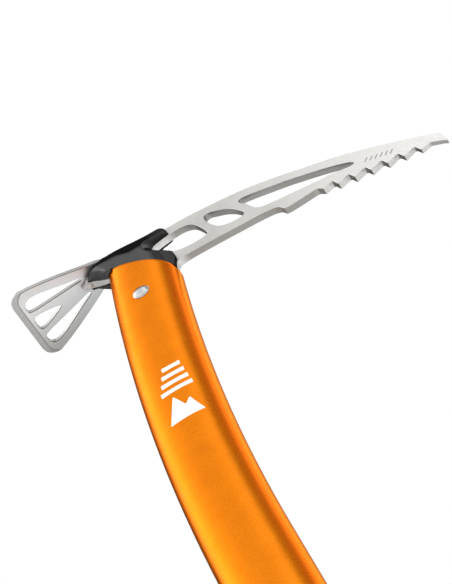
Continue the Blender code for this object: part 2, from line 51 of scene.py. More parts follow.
# ------------------------------------------------------------------ driving dimensions
RIVET_Z = 399.0         # head rivet above the foot
AXIS_X = 11.95          # head rivet ahead of the straight shaft's axis
CENTRE_X = 55.6         # world origin ahead of the same axis
SHAFT_HALF_X, SHAFT_HALF_Y, SHAFT_WALL = 15.8, 8.7, 1.5
SHAFT_POWER = 2.4       # exponent of the superellipse section
BEND_START, BEND_RATE = -167.8, 0.00045     # the shaft curves to +X above this level
PLATE_T = 3.4

# head outlines, (x, z) in the head frame
# top of the blade, from the adze end to the pick's tip
SPINE = [(-18.6, 44.6), (-7.0, 46.6), (0.0, 47.0), (10.0, 46.3), (16.0, 45.5),
         (23.5, 44.4), (33.8, 42.8), (41.5, 40.9), (51.8, 38.1), (59.5, 35.5),
         (69.1, 31.3), (77.0, 27.3), (84.2, 23.2), (96.6, 16.5), (108.0, 9.2),
         (119.1, 1.3), (130.9, -7.7), (137.6, -13.4)]
# bottom of the blade, from the teeth back to the shaft
LOWER_EDGE = [(84.2, 2.5), (69.9, 3.3), (68.5, 4.0), (67.9, 5.9), (66.0, 8.1),
              (61.4, 9.9), (48.1, 12.6), (37.8, 14.5), (28.4, 16.0), (22.6, 16.6),
              (20.2, 16.3), (18.2, 14.6), (16.9, 12.2), (16.2, 9.6)]
# top edge of the shaft's wall, from rear to front
MOUTH = [(-16.0, 41.6), (-9.4, 36.0), (-6.0, 32.9), (-2.8, 30.1), (0.8, 27.1),
         (4.3, 24.3), (8.4, 20.8), (12.8, 16.9), (15.3, 14.0), (17.2, 11.2),
         (18.2, 8.9), (21.0, 3.5)]


# ------------------------------------------------------------------ placing
def place(x, y, z):
    """Head frame to world."""
    return Vector(((x + AXIS_X - CENTRE_X) / 1000.0, y / 1000.0, (z + RIVET_Z) / 1000.0))


def foot(x, y, z):
    """Foot frame to world."""
    return Vector(((x - CENTRE_X) / 1000.0, y / 1000.0, z / 1000.0))


def upright(x, z, depth):
    return place(x, depth, z)


def foot_plane(x, z, depth):
    return foot(x, depth, z)


def on_axis(level, fore, side):
    """Head-frame point set off square from the bent centre line at a level."""
    rise = max(0.0, level - BEND_START)
    slope = 2.0 * BEND_RATE * rise
    stretch = math.hypot(1.0, slope)
    return (-AXIS_X + BEND_RATE * rise * rise + fore / stretch, side,
            level - fore * slope / stretch)


def oval(grow, angle):
    """Point (fore, side) on the shaft's section, grown outwards."""
    cos, sin = math.cos(angle), math.sin(angle)
    return ((SHAFT_HALF_X + grow) * math.copysign(abs(cos) ** (2.0 / SHAFT_POWER), cos),
            (SHAFT_HALF_Y + grow) * math.copysign(abs(sin) ** (2.0 / SHAFT_POWER), sin))


def even_angles(count, grow=0.0):
    """Angles that space points evenly along the oval, so no facet is long."""
    fine = [2.0 * math.pi * i / 4096 for i in range(4097)]
    pts = np.array([oval(grow, angle) for angle in fine])
    run = np.concatenate([[0.0], np.cumsum(np.linalg.norm(np.diff(pts, axis=0), axis=1))])
    want = np.linspace(0.0, run[-1], count, endpoint=False)
    return [float(angle) for angle in np.interp(want, run, fine)]


# ------------------------------------------------------------------ numbers and outlines
def line_at(table, x):
    """Linear interpolation in a table of (x, value), held flat past its ends."""
    if x <= table[0][0]:
        return table[0][1]
    for (x0, value0), (x1, value1) in zip(table, table[1:]):
        if x <= x1:
            return value0 + (value1 - value0) * (x - x0) / (x1 - x0)
    return table[-1][1]


def ease(t):
    t = max(0.0, min(1.0, t))
    return t * t * (3 - 2 * t)


def bisect(low, high, steps, below):
    """Narrows an interval around the value where below() turns false."""
    for _ in range(steps):
        middle = 0.5 * (low + high)
        if below(middle):
            low = middle
        else:
            high = middle
    return low, high


def smooth(points, step=0.5, closed=False):
    """Centripetal Catmull-Rom through the design points."""
    pts = [np.array(point, float) for point in points]
    count = len(pts)
    curve = []
    for i in range(count if closed else count - 1):
        start, end = pts[i], pts[(i + 1) % count]
        if closed:
            before, after = pts[i - 1], pts[(i + 2) % count]
        else:
            before = pts[i - 1] if i else 2 * start - end
            after = pts[i + 2] if i + 2 < count else 2 * end - start
        control = [before, start, end, after]
        knots = [0.0]
        for here, there in zip(control, control[1:]):
            knots.append(knots[-1] + max(1e-6, np.linalg.norm(there - here)) ** 0.5)
        pieces = max(1, int(round(np.linalg.norm(end - start) / step)))
        for k in range(pieces):
            t = knots[1] + (knots[2] - knots[1]) * k / pieces
            row = control
            # knot intervals over which each level blends neighbouring points
            for spans in (((0, 1), (1, 2), (2, 3)), ((0, 2), (1, 3)), ((1, 2),)):
                blended = []
                for j, (first, last) in enumerate(spans):
                    low, high = knots[first], knots[last]
                    blended.append((high - t) / (high - low) * row[j]
                                   + (t - low) / (high - low) * row[j + 1])
                row = blended
            curve.append(row[0])
    if not closed:
        curve.append(pts[-1])
    return [tuple(point) for point in curve]


def fillet(poly, radii, steps=5):
    """Rounds the corners of a closed polygon; radii is one number or one per corner."""
    pts = [np.array(point, float) for point in poly]
    if not isinstance(radii, (list, tuple)):
        radii = [radii] * len(pts)
    rounded = []
    for i, (corner, radius) in enumerate(zip(pts, radii)):
        back, ahead = pts[i - 1] - corner, pts[(i + 1) % len(pts)] - corner
        back_run, ahead_run = np.linalg.norm(back), np.linalg.norm(ahead)
        if radius <= 0 or back_run < 1e-6 or ahead_run < 1e-6:
            rounded.append(tuple(corner))
            continue
        back, ahead = back / back_run, ahead / ahead_run
        angle = math.acos(max(-1.0, min(1.0, float(back @ ahead))))
        if angle > math.radians(172):
            rounded.append(tuple(corner))
            continue
        trim = min(radius / math.tan(angle / 2), 0.48 * min(back_run, ahead_run))
        radius = trim * math.tan(angle / 2)
        inward = (back + ahead) / np.linalg.norm(back + ahead)
        centre = corner + inward * (radius / math.sin(angle / 2))
        first, last = corner + back * trim - centre, corner + ahead * trim - centre
        sweep = math.pi - angle
        for k in range(steps + 1):
            t = k / steps
            arm = math.sin((1 - t) * sweep) * first + math.sin(t * sweep) * last
            rounded.append(tuple(centre + arm / math.sin(sweep)))
    return rounded


def rectangle(x_low, x_high, z_low, z_high):
    return [(x_low, z_low), (x_high, z_low), (x_high, z_high), (x_low, z_high)]


def hexagon(radius):
    return [(radius * math.cos(math.pi * k / 3), radius * math.sin(math.pi * k / 3))
            for k in range(6)]


def tidy(loop, gap=0.02):
    """Drops points closer than the gap to the one before."""
    kept = []
    for point in loop:
        if not kept or math.hypot(point[0] - kept[-1][0], point[1] - kept[-1][1]) > gap:
            kept.append(point)
    while math.hypot(kept[0][0] - kept[-1][0], kept[0][1] - kept[-1][1]) <= gap:
        kept.pop()
    return kept


def turned(loop, ccw):
    """The loop, reversed where needed to run counter-clockwise or clockwise."""
    area = 0.5 * sum(a[0] * b[1] - b[0] * a[1] for a, b in zip(loop, loop[1:] + loop[:1]))
    return list(loop) if (area > 0) == ccw else list(reversed(loop))


def inside(points, loops):
    """Even-odd test of many points against all loops together."""
    pts = np.asarray(points, float)
    hit = np.zeros(len(pts), bool)
    for loop in loops:
        corners = np.asarray(loop, float)
        for (x0, z0), (x1, z1) in zip(corners, np.roll(corners, -1, axis=0)):
            if z0 == z1:
                continue
            cross = (pts[:, 1] < z0) != (pts[:, 1] < z1)
            reach = x0 + (pts[:, 1] - z0) * (x1 - x0) / (z1 - z0)
            hit ^= cross & (pts[:, 0] < reach)
    return hit


def offset(loop, distance):
    """Moves a loop to its left along mitred vertex normals."""
    pts = np.asarray(loop, float)
    edge = np.roll(pts, -1, axis=0) - pts
    edge /= np.linalg.norm(edge, axis=1)[:, None]
    after = np.stack([-edge[:, 1], edge[:, 0]], 1)
    before = np.roll(after, 1, axis=0)
    mitre = (before + after) / np.maximum(0.35, 1.0 + (before * after).sum(1))[:, None]
    return pts + mitre * distance


def distance_to(line):
    """A function giving the distance from a point to an open polyline."""
    line = np.asarray(line, float)
    start, run = line[:-1], line[1:] - line[:-1]
    square = np.maximum(1e-9, (run ** 2).sum(1))

    def distance(x, z):
        t = np.clip((((x, z) - start) * run).sum(1) / square, 0, 1)
        return float(np.sqrt((((x, z) - start - run * t[:, None]) ** 2).sum(1)).min())
    return distance


def clear_of(points, others, gap):
    """The points that lie farther than the gap from all the others."""
    return [point for point in points
            if np.sqrt(((others - np.array(point)) ** 2).sum(1)).min() > gap]


def triangulate(loops, pitch, gap, inset=0.0, fixed=()):
    """Fills loops with triangles over an inner grid. Fixed points join the grid.

    Returns the points, the input indices behind each point, and the triangles."""
    outline = np.concatenate(loops)
    edges, base = [], 0
    for loop in loops:
        count = len(loop)
        edges += [(base + i, base + (i + 1) % count) for i in range(count)]
        base += count
    low, high = outline.min(0), outline.max(0)
    grid = [(x, z) for x in np.arange(low[0] + inset, high[0], pitch)
            for z in np.arange(low[1] + inset, high[1], pitch)]
    if len(fixed):
        grid = clear_of(grid, np.array(fixed), 0.7) + list(fixed)
    grid = np.array(grid)
    grid = clear_of(grid[inside(grid, loops)], outline, gap)
    points = [Vector(tuple(point)) for point in [*outline, *grid]]
    result = delaunay_2d_cdt(points, edges, [], 0, 1e-7)
    flat = [(point.x, point.y) for point in result[0]]
    triangles = [tuple(face) for face in result[2]]
    middles = np.array([np.mean([flat[i] for i in face], axis=0) for face in triangles])
    kept = [face for face, good in zip(triangles, inside(middles, loops)) if good]
    return flat, result[3], kept


# ------------------------------------------------------------------ mesh building
def shade(mesh, sharp):
    """Smooth shading, split at edges sharper than an angle in degrees; 0 splits none."""
    mesh.shade_smooth()
    if sharp:
        mesh.set_sharp_from_angle(angle=math.radians(sharp))


def new_object(name, verts, faces, mats, index=None, sharp=40.0):
    mesh = bpy.data.meshes.new(name)
    mesh.from_pydata([tuple(vert) for vert in verts], [], faces)
    for material in mats:
        mesh.materials.append(material)
    if index is not None:
        mesh.polygons.foreach_set("material_index", index)
    mesh.validate()
    work = bmesh.new()
    work.from_mesh(mesh)
    bmesh.ops.recalc_face_normals(work, faces=work.faces[:])
    work.to_mesh(mesh)
    work.free()
    shade(mesh, sharp)
    return link(name, mesh)


def link(name, data):
    obj = bpy.data.objects.new(name, data)
    scene.collection.objects.link(obj)
    return obj


def plate(name, outer, holes, low, high, lay, mats, radius=0.2, pitch=1.8, fixed=()):
    """A flat part with rounded arrises. low and high give the two faces' offsets at (x, z);
    lay maps (x, z, offset) to the world. Material 0 is the faces, 1 the cut walls."""
    loops = [turned(tidy(outer), True)] + [turned(tidy(hole), False) for hole in holes]
    # (inset from the outline, drop from the face) across one arris
    profile = [(radius + 0.06, 0.0), (radius, 0.0)]
    for k in range(1, 4):
        t = 0.5 * math.pi * k / 3
        profile.append((radius * (1 - math.sin(t)), radius * (1 - math.cos(t))))
    wall = len(profile) - 1
    verts, faces, index = [], [], []

    def put(x, z, depth):
        verts.append(lay(x, z, depth))
        return len(verts) - 1

    rings, rim = [], []     # inner outlines of the faces, and their (low, high) vertices
    for loop in loops:
        count = len(loop)
        stack = [[put(x, z, low(x, z) + drop) for x, z in offset(loop, inset)]
                 for inset, drop in profile]
        stack += [[put(x, z, high(x, z) - drop) for x, z in offset(loop, inset)]
                  for inset, drop in reversed(profile)]
        for level, (lower, upper) in enumerate(zip(stack, stack[1:])):
            for i in range(count):
                j = (i + 1) % count
                faces.append((lower[i], lower[j], upper[j], upper[i]))
                index.append(1 if level == wall else 0)
        rings.append(offset(loop, profile[0][0]))
        rim += zip(stack[0], stack[-1])
    # one triangulation serves both faces; the inset keeps the grid off straight sides
    flat, sources, triangles = triangulate(rings, pitch, 0.55, 0.45, fixed)
    pairs = {}
    for i, source in enumerate(sources):
        on_rim = [k for k in source if k < len(rim)]
        if on_rim:
            pairs[i] = rim[on_rim[0]]
    for face in triangles:
        for i in face:
            if i not in pairs:
                x, z = flat[i]
                pairs[i] = put(x, z, low(x, z)), put(x, z, high(x, z))
        faces.append(tuple(pairs[i][0] for i in face))
        faces.append(tuple(pairs[i][1] for i in reversed(face)))
        index += [0, 0]
    return new_object(name, verts, faces, mats, index, sharp=50.0)


def skin(name, rings, mats, closed=False, sharp=40.0):
    """Joins equal rings into a surface; closed joins last to first, else the ends are capped."""
    verts = [point for ring in rings for point in ring]
    around, count = len(rings[0]), len(rings)
    faces = []
    for k in range(count if closed else count - 1):
        low, high = k * around, ((k + 1) % count) * around
        for i in range(around):
            j = (i + 1) % around
            faces.append((low + i, low + j, high + j, high + i))
    if not closed:
        faces.append(tuple(range(around)))
        faces.append(tuple(range((count - 1) * around, count * around)))
    return new_object(name, verts, faces, mats, sharp=sharp)


def turned_part(name, profile, mats, put, steps, sharp=40.0):
    """A turned piece: profile is (radius, along); put maps (along, side, up) to the world."""
    verts, rows = [], []
    for radius, along in profile:
        if radius < 1e-6:
            verts.append(put(along, 0.0, 0.0))
            rows.append([len(verts) - 1] * steps)
        else:
            rows.append(list(range(len(verts), len(verts) + steps)))
            for i in range(steps):
                angle = 2 * math.pi * i / steps
                verts.append(put(along, radius * math.cos(angle), radius * math.sin(angle)))
    if profile[0][0] > 1e-6:
        rows.append(rows[0])
    faces = []
    for low, high in zip(rows, rows[1:]):
        for i in range(steps):
            j = (i + 1) % steps
            face = tuple(dict.fromkeys((low[i], low[j], high[j], high[i])))
            if len(face) > 2:
                faces.append(face)
    return new_object(name, verts, faces, mats, sharp=sharp)


def rod(name, radius, start, end, put, steps):
    """A plain cylinder, used as a cutter."""
    profile = [(0.0, start), (radius, start), (radius, end), (0.0, end)]
    return turned_part(name, profile, [], put, steps, 0)


def both_ends(base, half, first=-1):
    """Mirrors a profile of (radius, height above base) to the other side of zero."""
    return ([(radius, first * (base + height)) for radius, height in half]
            + [(radius, -first * (base + height)) for radius, height in reversed(half)])


def prism(name, loop, half, lay):
    """A plain extruded outline, used as a cutter or a body to blend in."""
    loop = turned(loop, True)
    count = len(loop)
    verts = [lay(x, z, depth) for depth in (-half, half) for x, z in loop]
    faces = [(i, (i + 1) % count, count + (i + 1) % count, count + i) for i in range(count)]
    faces += [tuple(range(count)), tuple(range(count, 2 * count))]
    return new_object(name, verts, faces, [], sharp=0)


def apply_all(obj):
    bpy.context.view_layer.update()
    depsgraph = bpy.context.evaluated_depsgraph_get()
    mesh = bpy.data.meshes.new_from_object(obj.evaluated_get(depsgraph))
    old = obj.data
    obj.modifiers.clear()
    obj.data = mesh
    bpy.data.meshes.remove(old)


def mend(obj):
    """Welds slivers a Boolean leaves, so that the next one starts from a closed mesh."""
    for reach in (1e-6, 3e-6, 1e-5, 2e-5, 4e-5):
        work = bmesh.new()
        work.from_mesh(obj.data)
        if all(edge.is_manifold for edge in work.edges):
            work.free()
            return
        bmesh.ops.remove_doubles(work, verts=work.verts[:], dist=reach)
        bmesh.ops.dissolve_degenerate(work, edges=work.edges[:], dist=reach)
        loose = [edge for edge in work.edges if not edge.link_faces]
        bmesh.ops.delete(work, geom=loose, context="EDGES")
        work.to_mesh(obj.data)
        work.free()


def combine(obj, other, operation="DIFFERENCE"):
    """Boolean that uses up the other object."""
    boolean = obj.modifiers.new("b", "BOOLEAN")
    boolean.operation = operation
    boolean.object = other
    boolean.solver = "EXACT"
    apply_all(obj)
    mend(obj)
    bpy.data.objects.remove(other, do_unlink=True)


def soften(obj, voxel, rounds, material):
    """Voxel remesh and smoothing, which rounds a piece's arrises."""
    remesh = obj.modifiers.new("r", "REMESH")
    remesh.mode = "VOXEL"
    remesh.voxel_size = voxel / 1000.0
    remesh.use_smooth_shade = True
    relax = obj.modifiers.new("s", "SMOOTH")
    relax.factor = 0.5
    relax.iterations = rounds
    apply_all(obj)
    obj.data.materials.clear()
    obj.data.materials.append(material)
    obj.data.polygons.foreach_set("material_index", [0] * len(obj.data.polygons))
    obj.data.shade_smooth()


def settle(obj, replaced, body="axe"):
    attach(obj, body)
    if replaced:
        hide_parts(replaced)


# ------------------------------------------------------------------ node helpers
class Tree:
    """Short names for building a node tree. A colour is given as (r, g, b)."""

    def __init__(self, tree):
        self.tree = tree
        tree.nodes.clear()

    def node(self, kind, ins=None, **props):
        node = self.tree.nodes.new(kind)
        for key, value in props.items():
            setattr(node, key, value)
        for key, value in (ins or {}).items():
            self.feed(node.inputs[key], value)
        return node

    def feed(self, socket, value):
        if isinstance(value, bpy.types.NodeSocket):
            self.tree.links.new(value, socket)
        elif isinstance(value, tuple) and socket.type == "RGBA":
            socket.default_value = (*value, 1.0)
        else:
            socket.default_value = value

    def math(self, operation, first, second=0.0, third=0.0):
        ins = {0: first, 1: second, 2: third}
        return self.node("ShaderNodeMath", ins, operation=operation).outputs[0]

    def times(self, first, second):
        return self.math("MULTIPLY", first, second)

    def plus(self, first, second):
        return self.math("ADD", first, second)

    def mix(self, factor, base, over):
        ins = {0: factor, 6: base, 7: over}
        return self.node("ShaderNodeMix", ins, data_type="RGBA").outputs[2]


class Material(Tree):
    """A principled material; sizes of noise and bumps are in mm."""

    def __init__(self, name):
        self.material = bpy.data.materials.new(name)
        self.material.use_nodes = True
        super().__init__(self.material.node_tree)
        self.out = self.node("ShaderNodeOutputMaterial")
        self.bsdf = self.node("ShaderNodeBsdfPrincipled")
        self.feed(self.out.inputs[0], self.bsdf.outputs[0])
        self.coord = self.node("ShaderNodeTexCoord").outputs["Object"]

    def scaled(self, scale):
        return self.node("ShaderNodeMapping", {"Vector": self.coord, "Scale": scale}).outputs[0]

    def noise(self, size, detail=3.0, rough=0.55, scale=None):
        vector = self.scaled(scale) if scale else self.coord
        return self.node("ShaderNodeTexNoise", {"Vector": vector, "Scale": 1000.0 / size,
                                                "Detail": detail, "Roughness": rough}).outputs[0]

    def remap(self, value, span=(0.3, 0.7), to=(0.0, 1.0)):
        """Maps span to a new range; the default span is the usual range of a noise."""
        return self.node("ShaderNodeMapRange",
                         {"Value": value, "From Min": span[0], "From Max": span[1],
                          "To Min": to[0], "To Max": to[1]}).outputs[0]

    def fade_x(self, value, start, end, to=(0.0, 1.0)):
        """Remaps a world x between two head-frame places."""
        return self.remap(value, (place(start, 0, 0).x, place(end, 0, 0).x), to)

    def bump(self, height, mm, strength=1.0, normal=None):
        ins = {"Height": height, "Distance": mm / 1000.0, "Strength": strength}
        if normal is not None:
            ins["Normal"] = normal
        return self.node("ShaderNodeBump", ins).outputs[0]

    def axis(self, i):
        return self.node("ShaderNodeSeparateXYZ", {0: self.coord}).outputs[i]

    def normal_axes(self):
        normal = self.node("ShaderNodeNewGeometry").outputs["Normal"]
        return self.node("ShaderNodeSeparateXYZ", {0: normal}).outputs

    def heat(self, first, second, strength):
        """Fades out 2 to 6 mm from a weld, given the two offsets from it."""
        square = self.plus(self.times(first, first), self.times(second, second))
        return self.remap(self.math("SQRT", square), span=(0.002, 0.006), to=(strength, 0.0))

    def set(self, **values):
        for key, value in values.items():
            self.feed(self.bsdf.inputs[key.replace("_", " ")], value)
        return self.material


# ------------------------------------------------------------------ materials
BEVEL_RUN_ADZE = 3.2    # width of the bevel ground along the adze's cutting end


def steel_material(name, base=(0.60, 0.59, 0.57), rough=0.34, striped=False, tint=None):
    """Mottled satin steel; tint(mat, colour) adds local colour and painted light, striped adds
    cut marks.
    """
    mat = Material(name)
    broad = mat.noise(size=14.0, detail=2.0, rough=0.5)
    mid = mat.noise(size=2.2, detail=4.0, rough=0.6)
    fine = mat.noise(size=0.22, detail=2.0, rough=0.6)
    streak = mat.noise(size=1.0, detail=3.0, rough=0.6, scale=(1.0, 1.0, 0.12))

    def shaded(factor):
        return tuple(part * factor for part in base)

    cloud = mat.plus(mat.times(broad, 0.55), mat.times(mid, 0.45))
    cloud = mat.remap(cloud, span=(0.32, 0.68))
    colour = mat.mix(cloud, shaded(0.89), shaded(1.08))
    speck = mat.remap(fine, span=(0.35, 0.7))
    colour = mat.mix(mat.times(speck, 0.10), colour, shaded(0.62))
    if tint is not None:
        colour = tint(mat, colour)
    roughness = mat.plus(mat.remap(mid, to=(rough - 0.05, rough + 0.06)),
                         mat.times(streak, 0.04))
    if striped:
        cut = mat.noise(size=0.35, detail=3.0, rough=0.7, scale=(1.0, 0.07, 1.0))
        height = mat.plus(mat.times(cut, 0.8), mat.times(fine, 0.2))
        normal = mat.bump(height, mm=0.06, strength=0.9)
        colour = mat.mix(mat.remap(cut, to=(0.35, 0.0)), colour, (0.30, 0.29, 0.28))
    else:
        normal = mat.bump(fine, mm=0.012)
        normal = mat.bump(mid, mm=0.02, strength=0.5, normal=normal)
    return mat.set(Base_Color=colour, Metallic=1.0, Roughness=roughness, Normal=normal)


def pick_tint(mat, colour):
    """Brighter towards the tip, and a heat bloom near the adze weld."""
    x, z = mat.axis(0), mat.axis(2)
    tip = mat.fade_x(x, 40, 130)
    colour = mat.mix(mat.times(tip, 0.85), colour, (0.84, 0.83, 0.81))
    heat = mat.heat(mat.math("SUBTRACT", x, place(-20, 0, 0).x),
                    mat.math("SUBTRACT", z, place(0, 0, 43).z), strength=0.35)
    return mat.mix(heat, colour, (0.50, 0.44, 0.40))


def adze_tint_and_painted_light(mat, colour):
    """Painted light and shade: a lighter near arm and a darker far arm, a bluish tint near the
    root that cancels the orange shaft's reflection, painted shade on the arrises along the near
    edge, and a ground bevel painted lighter on its near side, with a painted shade line along
    its root; also a heat tint by the weld."""
    x, y = mat.axis(0), mat.axis(1)
    # painted light: a bluish tint near the root cancels the orange shaft's reflection; the near
    # arm is painted lighter and the far arm darker
    side = mat.remap(y, span=(-0.006, 0.014))
    root = mat.fade_x(x, -38, -22, to=(0.0, 0.6))
    colour = mat.mix(root, colour, (0.56, 0.64, 0.70))
    lit_near_arm = mat.mix(0.6, colour, (0.76, 0.785, 0.80))
    shaded_far_arm = mat.mix(0.7, colour, (0.27, 0.27, 0.262))
    colour = mat.mix(side, lit_near_arm, shaded_far_arm)
    # painted shade on the arrises: faces turned partly down and to the near side, short of the
    # cutting end
    normal = mat.normal_axes()
    down = mat.times(normal[2], -1.0)
    arris_shade = mat.times(mat.remap(down, span=(0.97, 0.86)), mat.remap(down, span=(0.15, 0.4)))
    near = mat.remap(normal[1], span=(-0.15, -0.4))
    flat = mat.fade_x(x, -49.5, -47.5)
    colour = mat.mix(mat.times(mat.times(arris_shade, near), flat), colour, (0.13, 0.125, 0.12))
    # the bevel, painted lighter on the near side, and streaked by grinding
    grind = mat.noise(size=0.5, detail=3.0, rough=0.6, scale=(0.12, 1.0, 1.0))
    nose = mat.node("ShaderNodeAttribute", attribute_name="nose").outputs["Fac"]
    bevel = mat.remap(nose, span=(BEVEL_RUN_ADZE - 0.1, BEVEL_RUN_ADZE + 0.15), to=(1.0, 0.0))
    ground = mat.mix(mat.remap(y, span=(-0.016, 0.012)), (0.48, 0.48, 0.475),
                     (0.40, 0.395, 0.38))
    ground = mat.mix(mat.remap(grind, span=(0.35, 0.65), to=(0.0, 0.35)), ground,
                     (0.30, 0.295, 0.285))
    colour = mat.mix(bevel, colour, ground)
    # painted shade line along the bevel's root, on the underside only
    away = mat.math("ABSOLUTE", mat.math("SUBTRACT", nose, BEVEL_RUN_ADZE + 0.1))
    line = mat.remap(away, span=(0.15, 0.6), to=(0.7, 0.0))
    under = mat.remap(down, span=(0.5, 0.8))
    colour = mat.mix(mat.times(line, under), colour, (0.15, 0.147, 0.142))
    heat = mat.heat(mat.math("SUBTRACT", x, place(-19, 0, 0).x), y, strength=0.3)
    return mat.mix(heat, colour, (0.42, 0.38, 0.36))


def cut_wall_painted_light(mat, colour):
    """Painted light on cut walls: the blade's thin end under the cap and the hole's wall in the
    cap's notch get a painted highlight; tooth flanks get a painted highlight on their long side
    and painted shade on the short one;
    the adze's windows get painted shade, lighter on walls that face the near side."""
    dark = (0.17, 0.167, 0.16)
    x = mat.axis(0)
    # painted highlight on the blade's thin end under the cap
    tail = mat.times(mat.fade_x(x, -6, -9, to=(0.0, 0.85)), mat.fade_x(x, -19.6, -18.7))
    colour = mat.mix(tail, colour, (0.62, 0.61, 0.59))
    # painted highlight on the hole's wall in the cap's notch, where the prong casts shade
    notch = mat.times(mat.fade_x(x, 8, 12, to=(0.0, 0.9)),
                      mat.fade_x(x, 20, 25, to=(1.0, 0.0)))
    colour = mat.mix(notch, colour, (0.88, 0.875, 0.86))
    # painted shade in the adze's cut walls, lighter on walls that face the near side
    adze = mat.fade_x(x, -19.6, -18.7, to=(0.75, 0.0))
    normal = mat.normal_axes()
    rim = mat.remap(normal[1], span=(-0.75, -0.45), to=(1.0, 0.0))
    colour = mat.mix(adze, colour, mat.mix(rim, dark, (0.66, 0.66, 0.65)))
    # tooth flanks: painted highlight on the long side, painted shade on the short one
    flank_light_and_shade = mat.mix(mat.remap(normal[0], span=(-0.6, 0.15)), dark, (0.78, 0.775, 0.76))
    flank_light_and_shade = mat.mix(mat.fade_x(x, 131.0, 132.4), flank_light_and_shade, (0.47, 0.465, 0.455))
    teeth = mat.fade_x(x, 82.0, 87.0, to=(0.0, 0.9))
    # the teeth lie below a line that falls 0.37 per unit of x
    fall = 0.37
    rivet = place(0, 0, 0)
    level = rivet.z + fall * rivet.x
    low = mat.remap(mat.plus(mat.axis(2), mat.times(x, fall)),
                    span=(level + 0.0375, level + 0.0395), to=(1.0, 0.0))
    return mat.mix(mat.times(teeth, low), colour, flank_light_and_shade)


def weld_material():
    """Rippled bead."""
    mat = Material("weld_bead")
    ripple = mat.node("ShaderNodeTexWave",
                      {"Vector": mat.coord, "Scale": 520.0, "Distortion": 5.0,
                       "Detail": 2.0, "Detail Scale": 2.0},
                      wave_type="RINGS", rings_direction="X").outputs["Color"]
    soft = mat.noise(size=1.4)
    colour = mat.mix(mat.remap(soft), (0.43, 0.405, 0.39), (0.57, 0.545, 0.53))
    normal = mat.bump(ripple, mm=0.04, strength=0.5)
    normal = mat.bump(mat.noise(size=0.3), mm=0.015, strength=0.5, normal=normal)
    return mat.set(Base_Color=colour, Metallic=0.3, Roughness=mat.remap(soft, to=(0.34, 0.48)),
                   Normal=normal)


def orange_material():
    """Anodised shaft: soft clouds, lighter grain and darker flakes, with painted shade on its
    front and rear quarters.
    """
    mat = Material("orange_anodised")
    grain = mat.noise(size=0.34, detail=2.0, rough=0.7)
    flake = mat.node("ShaderNodeTexVoronoi",
                     {"Vector": mat.coord, "Scale": 1000.0 / 0.42}).outputs["Color"]
    flake = mat.node("ShaderNodeSeparateColor", {0: flake}).outputs[0]
    soft = mat.noise(size=9.0, detail=3.0, rough=0.5)
    streak = mat.noise(size=3.0, detail=2.0, rough=0.5, scale=(1.0, 1.0, 0.03))
    colour = mat.mix(mat.remap(soft), (0.81, 0.192, 0.002), (0.87, 0.220, 0.003))
    colour = mat.mix(mat.times(mat.remap(grain, span=(0.38, 0.70)), 0.30), colour,
                     (0.90, 0.37, 0.02))
    colour = mat.mix(mat.times(mat.remap(flake, span=(0.0, 0.35), to=(1.0, 0.0)), 0.22),
                     colour, (0.60, 0.11, 0.003))
    # painted shade: the front quarter, where the dark stripe falls, is painted redder and the
    # rear quarter deeper
    turn = mat.normal_axes()[0]
    front_stripe_shade = mat.times(mat.remap(turn, span=(0.34, 0.50), to=(0.0, 0.85)),
                      mat.remap(turn, span=(0.90, 0.74)))
    colour = mat.mix(front_stripe_shade, colour, (1.0, 0.185, 0.006))
    # painted shade on the rear quarter
    rear = mat.remap(turn, span=(-0.38, -0.62), to=(0.0, 0.8))
    colour = mat.mix(rear, colour, (0.65, 0.13, 0.003))
    rough = mat.plus(mat.remap(grain, to=(0.22, 0.34)), mat.times(streak, 0.03))
    normal = mat.bump(grain, mm=0.022, strength=0.7)
    normal = mat.bump(flake, mm=0.010, strength=0.5, normal=normal)
    return mat.set(Base_Color=colour, Metallic=1.0, Roughness=rough, Normal=normal,
                   Specular_Tint=(1.0, 0.62, 0.25), Coat_Weight=0.10, Coat_Roughness=0.2)


def polymer_material(name, base, rough, grain, size=0.32, prongs=1.0):
    """Dark moulding. base is its grey, grain and size the texture's depth and pitch in mm,
    prongs the share of shine left at the cap's front prongs, as painted shade; below 1 it also
    takes shine off the far flange as painted shade."""
    mat = Material(name)
    fine = mat.noise(size=size, rough=0.6)
    soft = mat.noise(size=5.0, rough=0.5)
    deep, pale = base * 0.8, base * 1.35
    colour = mat.mix(mat.remap(soft), (deep, deep, deep * 1.05), (pale, pale, pale * 1.06))
    roughness = mat.plus(mat.remap(fine, to=(rough - 0.05, rough + 0.07)),
                         mat.times(soft, 0.06))
    normal = mat.bump(fine, mm=grain, strength=0.8)
    normal = mat.bump(mat.noise(size=1.6, detail=2.0), mm=0.02, strength=0.3, normal=normal)
    facing = mat.node("ShaderNodeLayerWeight", {"Blend": 0.5}).outputs["Facing"]
    shine = mat.remap(facing, span=(0.48, 0.72), to=(0.58, 0.0))
    # painted shade: less shine towards the front prongs
    shine = mat.times(shine, mat.fade_x(mat.axis(0), 8, 16, to=(1.0, prongs)))
    if prongs < 1.0:
        # painted shade: shine is taken off the far flange's unlit inner and lower faces past the
        # blade
        sideways = mat.normal_axes()[1]
        inner = mat.times(mat.remap(mat.axis(1), span=(0.0008, 0.0016)),
                          mat.remap(sideways, span=(0.45, 0.1), to=(0.0, 0.9)))
        shine = mat.times(shine, mat.math("SUBTRACT", 1.0, inner))
    return mat.set(Base_Color=colour, Roughness=roughness, Normal=normal,
                   Specular_IOR_Level=shine)


def bright_material():
    mat = Material("bright_rivet")
    swirl = mat.noise(size=0.5, rough=0.6)
    soft = mat.noise(size=2.0, detail=2.0)
    colour = mat.mix(mat.remap(soft), (0.50, 0.505, 0.515), (0.64, 0.64, 0.645))
    normal = mat.bump(swirl, mm=0.02, strength=0.6)
    return mat.set(Base_Color=colour, Metallic=1.0, Roughness=mat.remap(swirl, to=(0.20, 0.34)),
                   Normal=normal)


